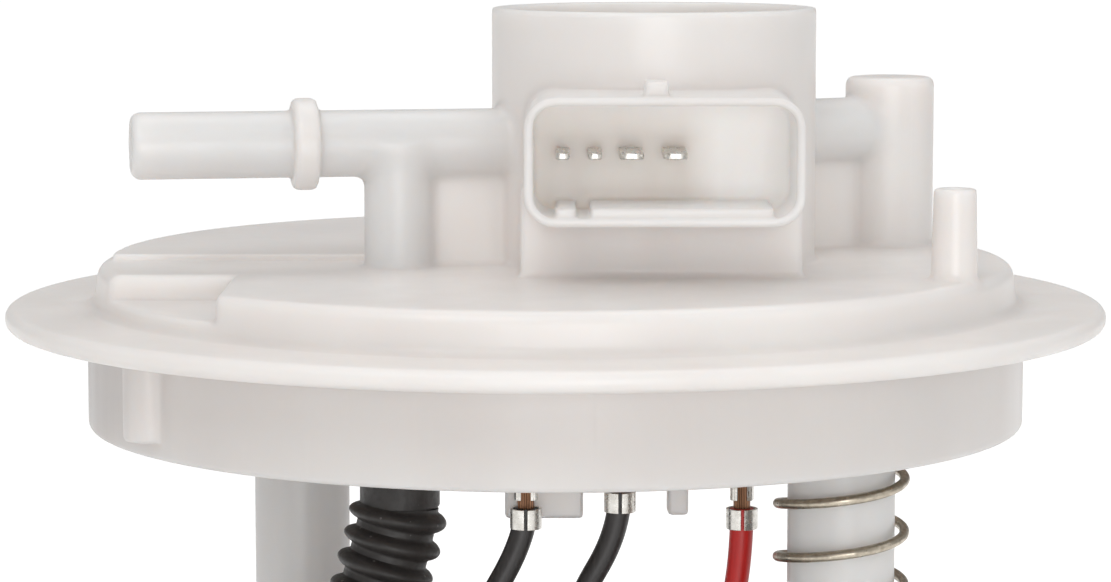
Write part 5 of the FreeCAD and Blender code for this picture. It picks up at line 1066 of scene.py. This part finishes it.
def sock_ring(form, inset, side):
    """One ring of points of the bag's upper or lower cloth, at a distance inside its outline."""
    corner = max(SOCK_CORNER - inset, 0.2)
    reach_x, reach_y = half.x - inset - corner, half.y - inset - corner
    rest = min(max(inset - WELD_WIDTH, 0) / PUFF_RUN, 1)
    lift = WELD_HALF + (half.z - WELD_HALF) * math.sin(rest * math.pi / 2) ** PUFF_SHAPE
    made = []
    for step in range(ROUND):
        turn = 2 * math.pi * step / ROUND
        out = Vector((math.cos(turn), math.sin(turn)))
        core = Vector((math.copysign(max(reach_x, 0), out.x), math.copysign(max(reach_y, 0), out.y)))
        blend = min(1.0, abs(out.x) * CORNER_BLEND), min(1.0, abs(out.y) * CORNER_BLEND)
        place = Vector((core.x * blend[0], core.y * blend[1])) + out * corner
        crease = abs(fold(place, WIDE_FOLDS) + 0.5 * fold(place, SMALL_FOLDS))
        rise = lift * (1 - CREASE * crease) if inset > WELD_WIDTH else lift
        made.append(form.verts.new((middle + Vector((place.x, place.y, side * rise))) * MM))
    return made


form, rims = bmesh.new(), []
for side in (1, -1):
    rings = [sock_ring(form, index * (half.y - 0.25) / (RINGS - 1), side) for index in range(RINGS)]
    for outer, within in zip(rings, rings[1:]):
        for index in range(ROUND):
            after = (index + 1) % ROUND
            form.faces.new((outer[index], outer[after], within[after], within[index])[::side])
    form.faces.new(rings[-1][::side])
    rims.append(rings[0])
for index in range(ROUND):
    after = (index + 1) % ROUND
    form.faces.new((rims[0][after], rims[0][index], rims[1][index], rims[1][after]))
bmesh.ops.remove_doubles(form, verts=form.verts, dist=0.01 * MM)
bmesh.ops.recalc_face_normals(form, faces=form.faces)
settle(placed("strainer_bag", form, 50), sock_fabric, "sock_fabric", "reservoir", "strainer_sock")

# Level sender: a black housing snapped on the pot's flat, a fired ceramic card with printed tracks,
# and a wiper on the hub that the float's arm turns.
PIVOT_Y, PIVOT_Z = 4.0, -104.0
TRACKS = ((11.4, 1.5), (15.2, 1.9))
FINGER_ARC, FINGER_HALF, FINGER_SPACING = 13.3, 1.9, 0.34
moulded("sender_housing", "sender_body", 0.35, dark_plastic, "sender_plastic")
moulded("wiper_hub", "wiper_rotor", 0.25, dark_plastic, "sender_plastic")
ceramic, principled, add = shader("printed_ceramic")
pivot = add("VectorMath", in_millimetres(add, (0, 1, 1)), (0, PIVOT_Y, PIVOT_Z), operation="DISTANCE")


def printed_arc(radius, half):
    """A mask over an arc of print round the hub's pivot."""
    off = calc(add, "ABSOLUTE", calc(add, "SUBTRACT", pivot.outputs["Value"], radius))
    return calc(add, "LESS_THAN", off, half)


band = calc(add, "MAXIMUM", *(printed_arc(radius, width / 2) for radius, width in TRACKS))
comb = calc(add, "GREATER_THAN", bands(add, "Y", FINGER_SPACING), 0.5)
finger = calc(add, "MULTIPLY", printed_arc(FINGER_ARC, FINGER_HALF), comb)
base = tint(add, spread(add, grain(add, 0.8, 3.0), 0, 1), (0.74, 0.74, 0.71), (0.80, 0.80, 0.77))
base = tint(add, finger, base, (0.58, 0.56, 0.50))
finish_with(add, principled, tint(add, band, base, (0.045, 0.05, 0.05)), 0.35, grain(add, 2.0), 0.01)
moulded("resistor_card", "level_card", 0.08, ceramic, "ceramic")
moulded("wiper_contact", "wiper_fingers", 0.05, tinned, "tinned_brass")
moulded("sender_terminal", "sender_contact", 0.06, tinned, "tinned_brass")
moulded("hub_clip", "hub_ring", 0.08, spring_steel, "spring_steel")

# Float: a block of closed-cell nitrile foam on a bent wire of bright steel, which turns the hub as the
# fuel rises and falls.
foam, principled, add = shader("nitrile_foam")
cells = add("TexVoronoi", in_millimetres(add), named={"Scale": 1.7}, feature="F1").outputs[0]
base = tint(add, cells, (0.020, 0.020, 0.020), (0.060, 0.058, 0.056))
finish_with(add, principled, base, 0.72, cells, 0.14)
moulded("float", "float_block", 1.1, foam, "float_foam", segments=4)
moulded("float_arm", "float_wire", 0.05, bright_steel, "bright_steel", angle=60)
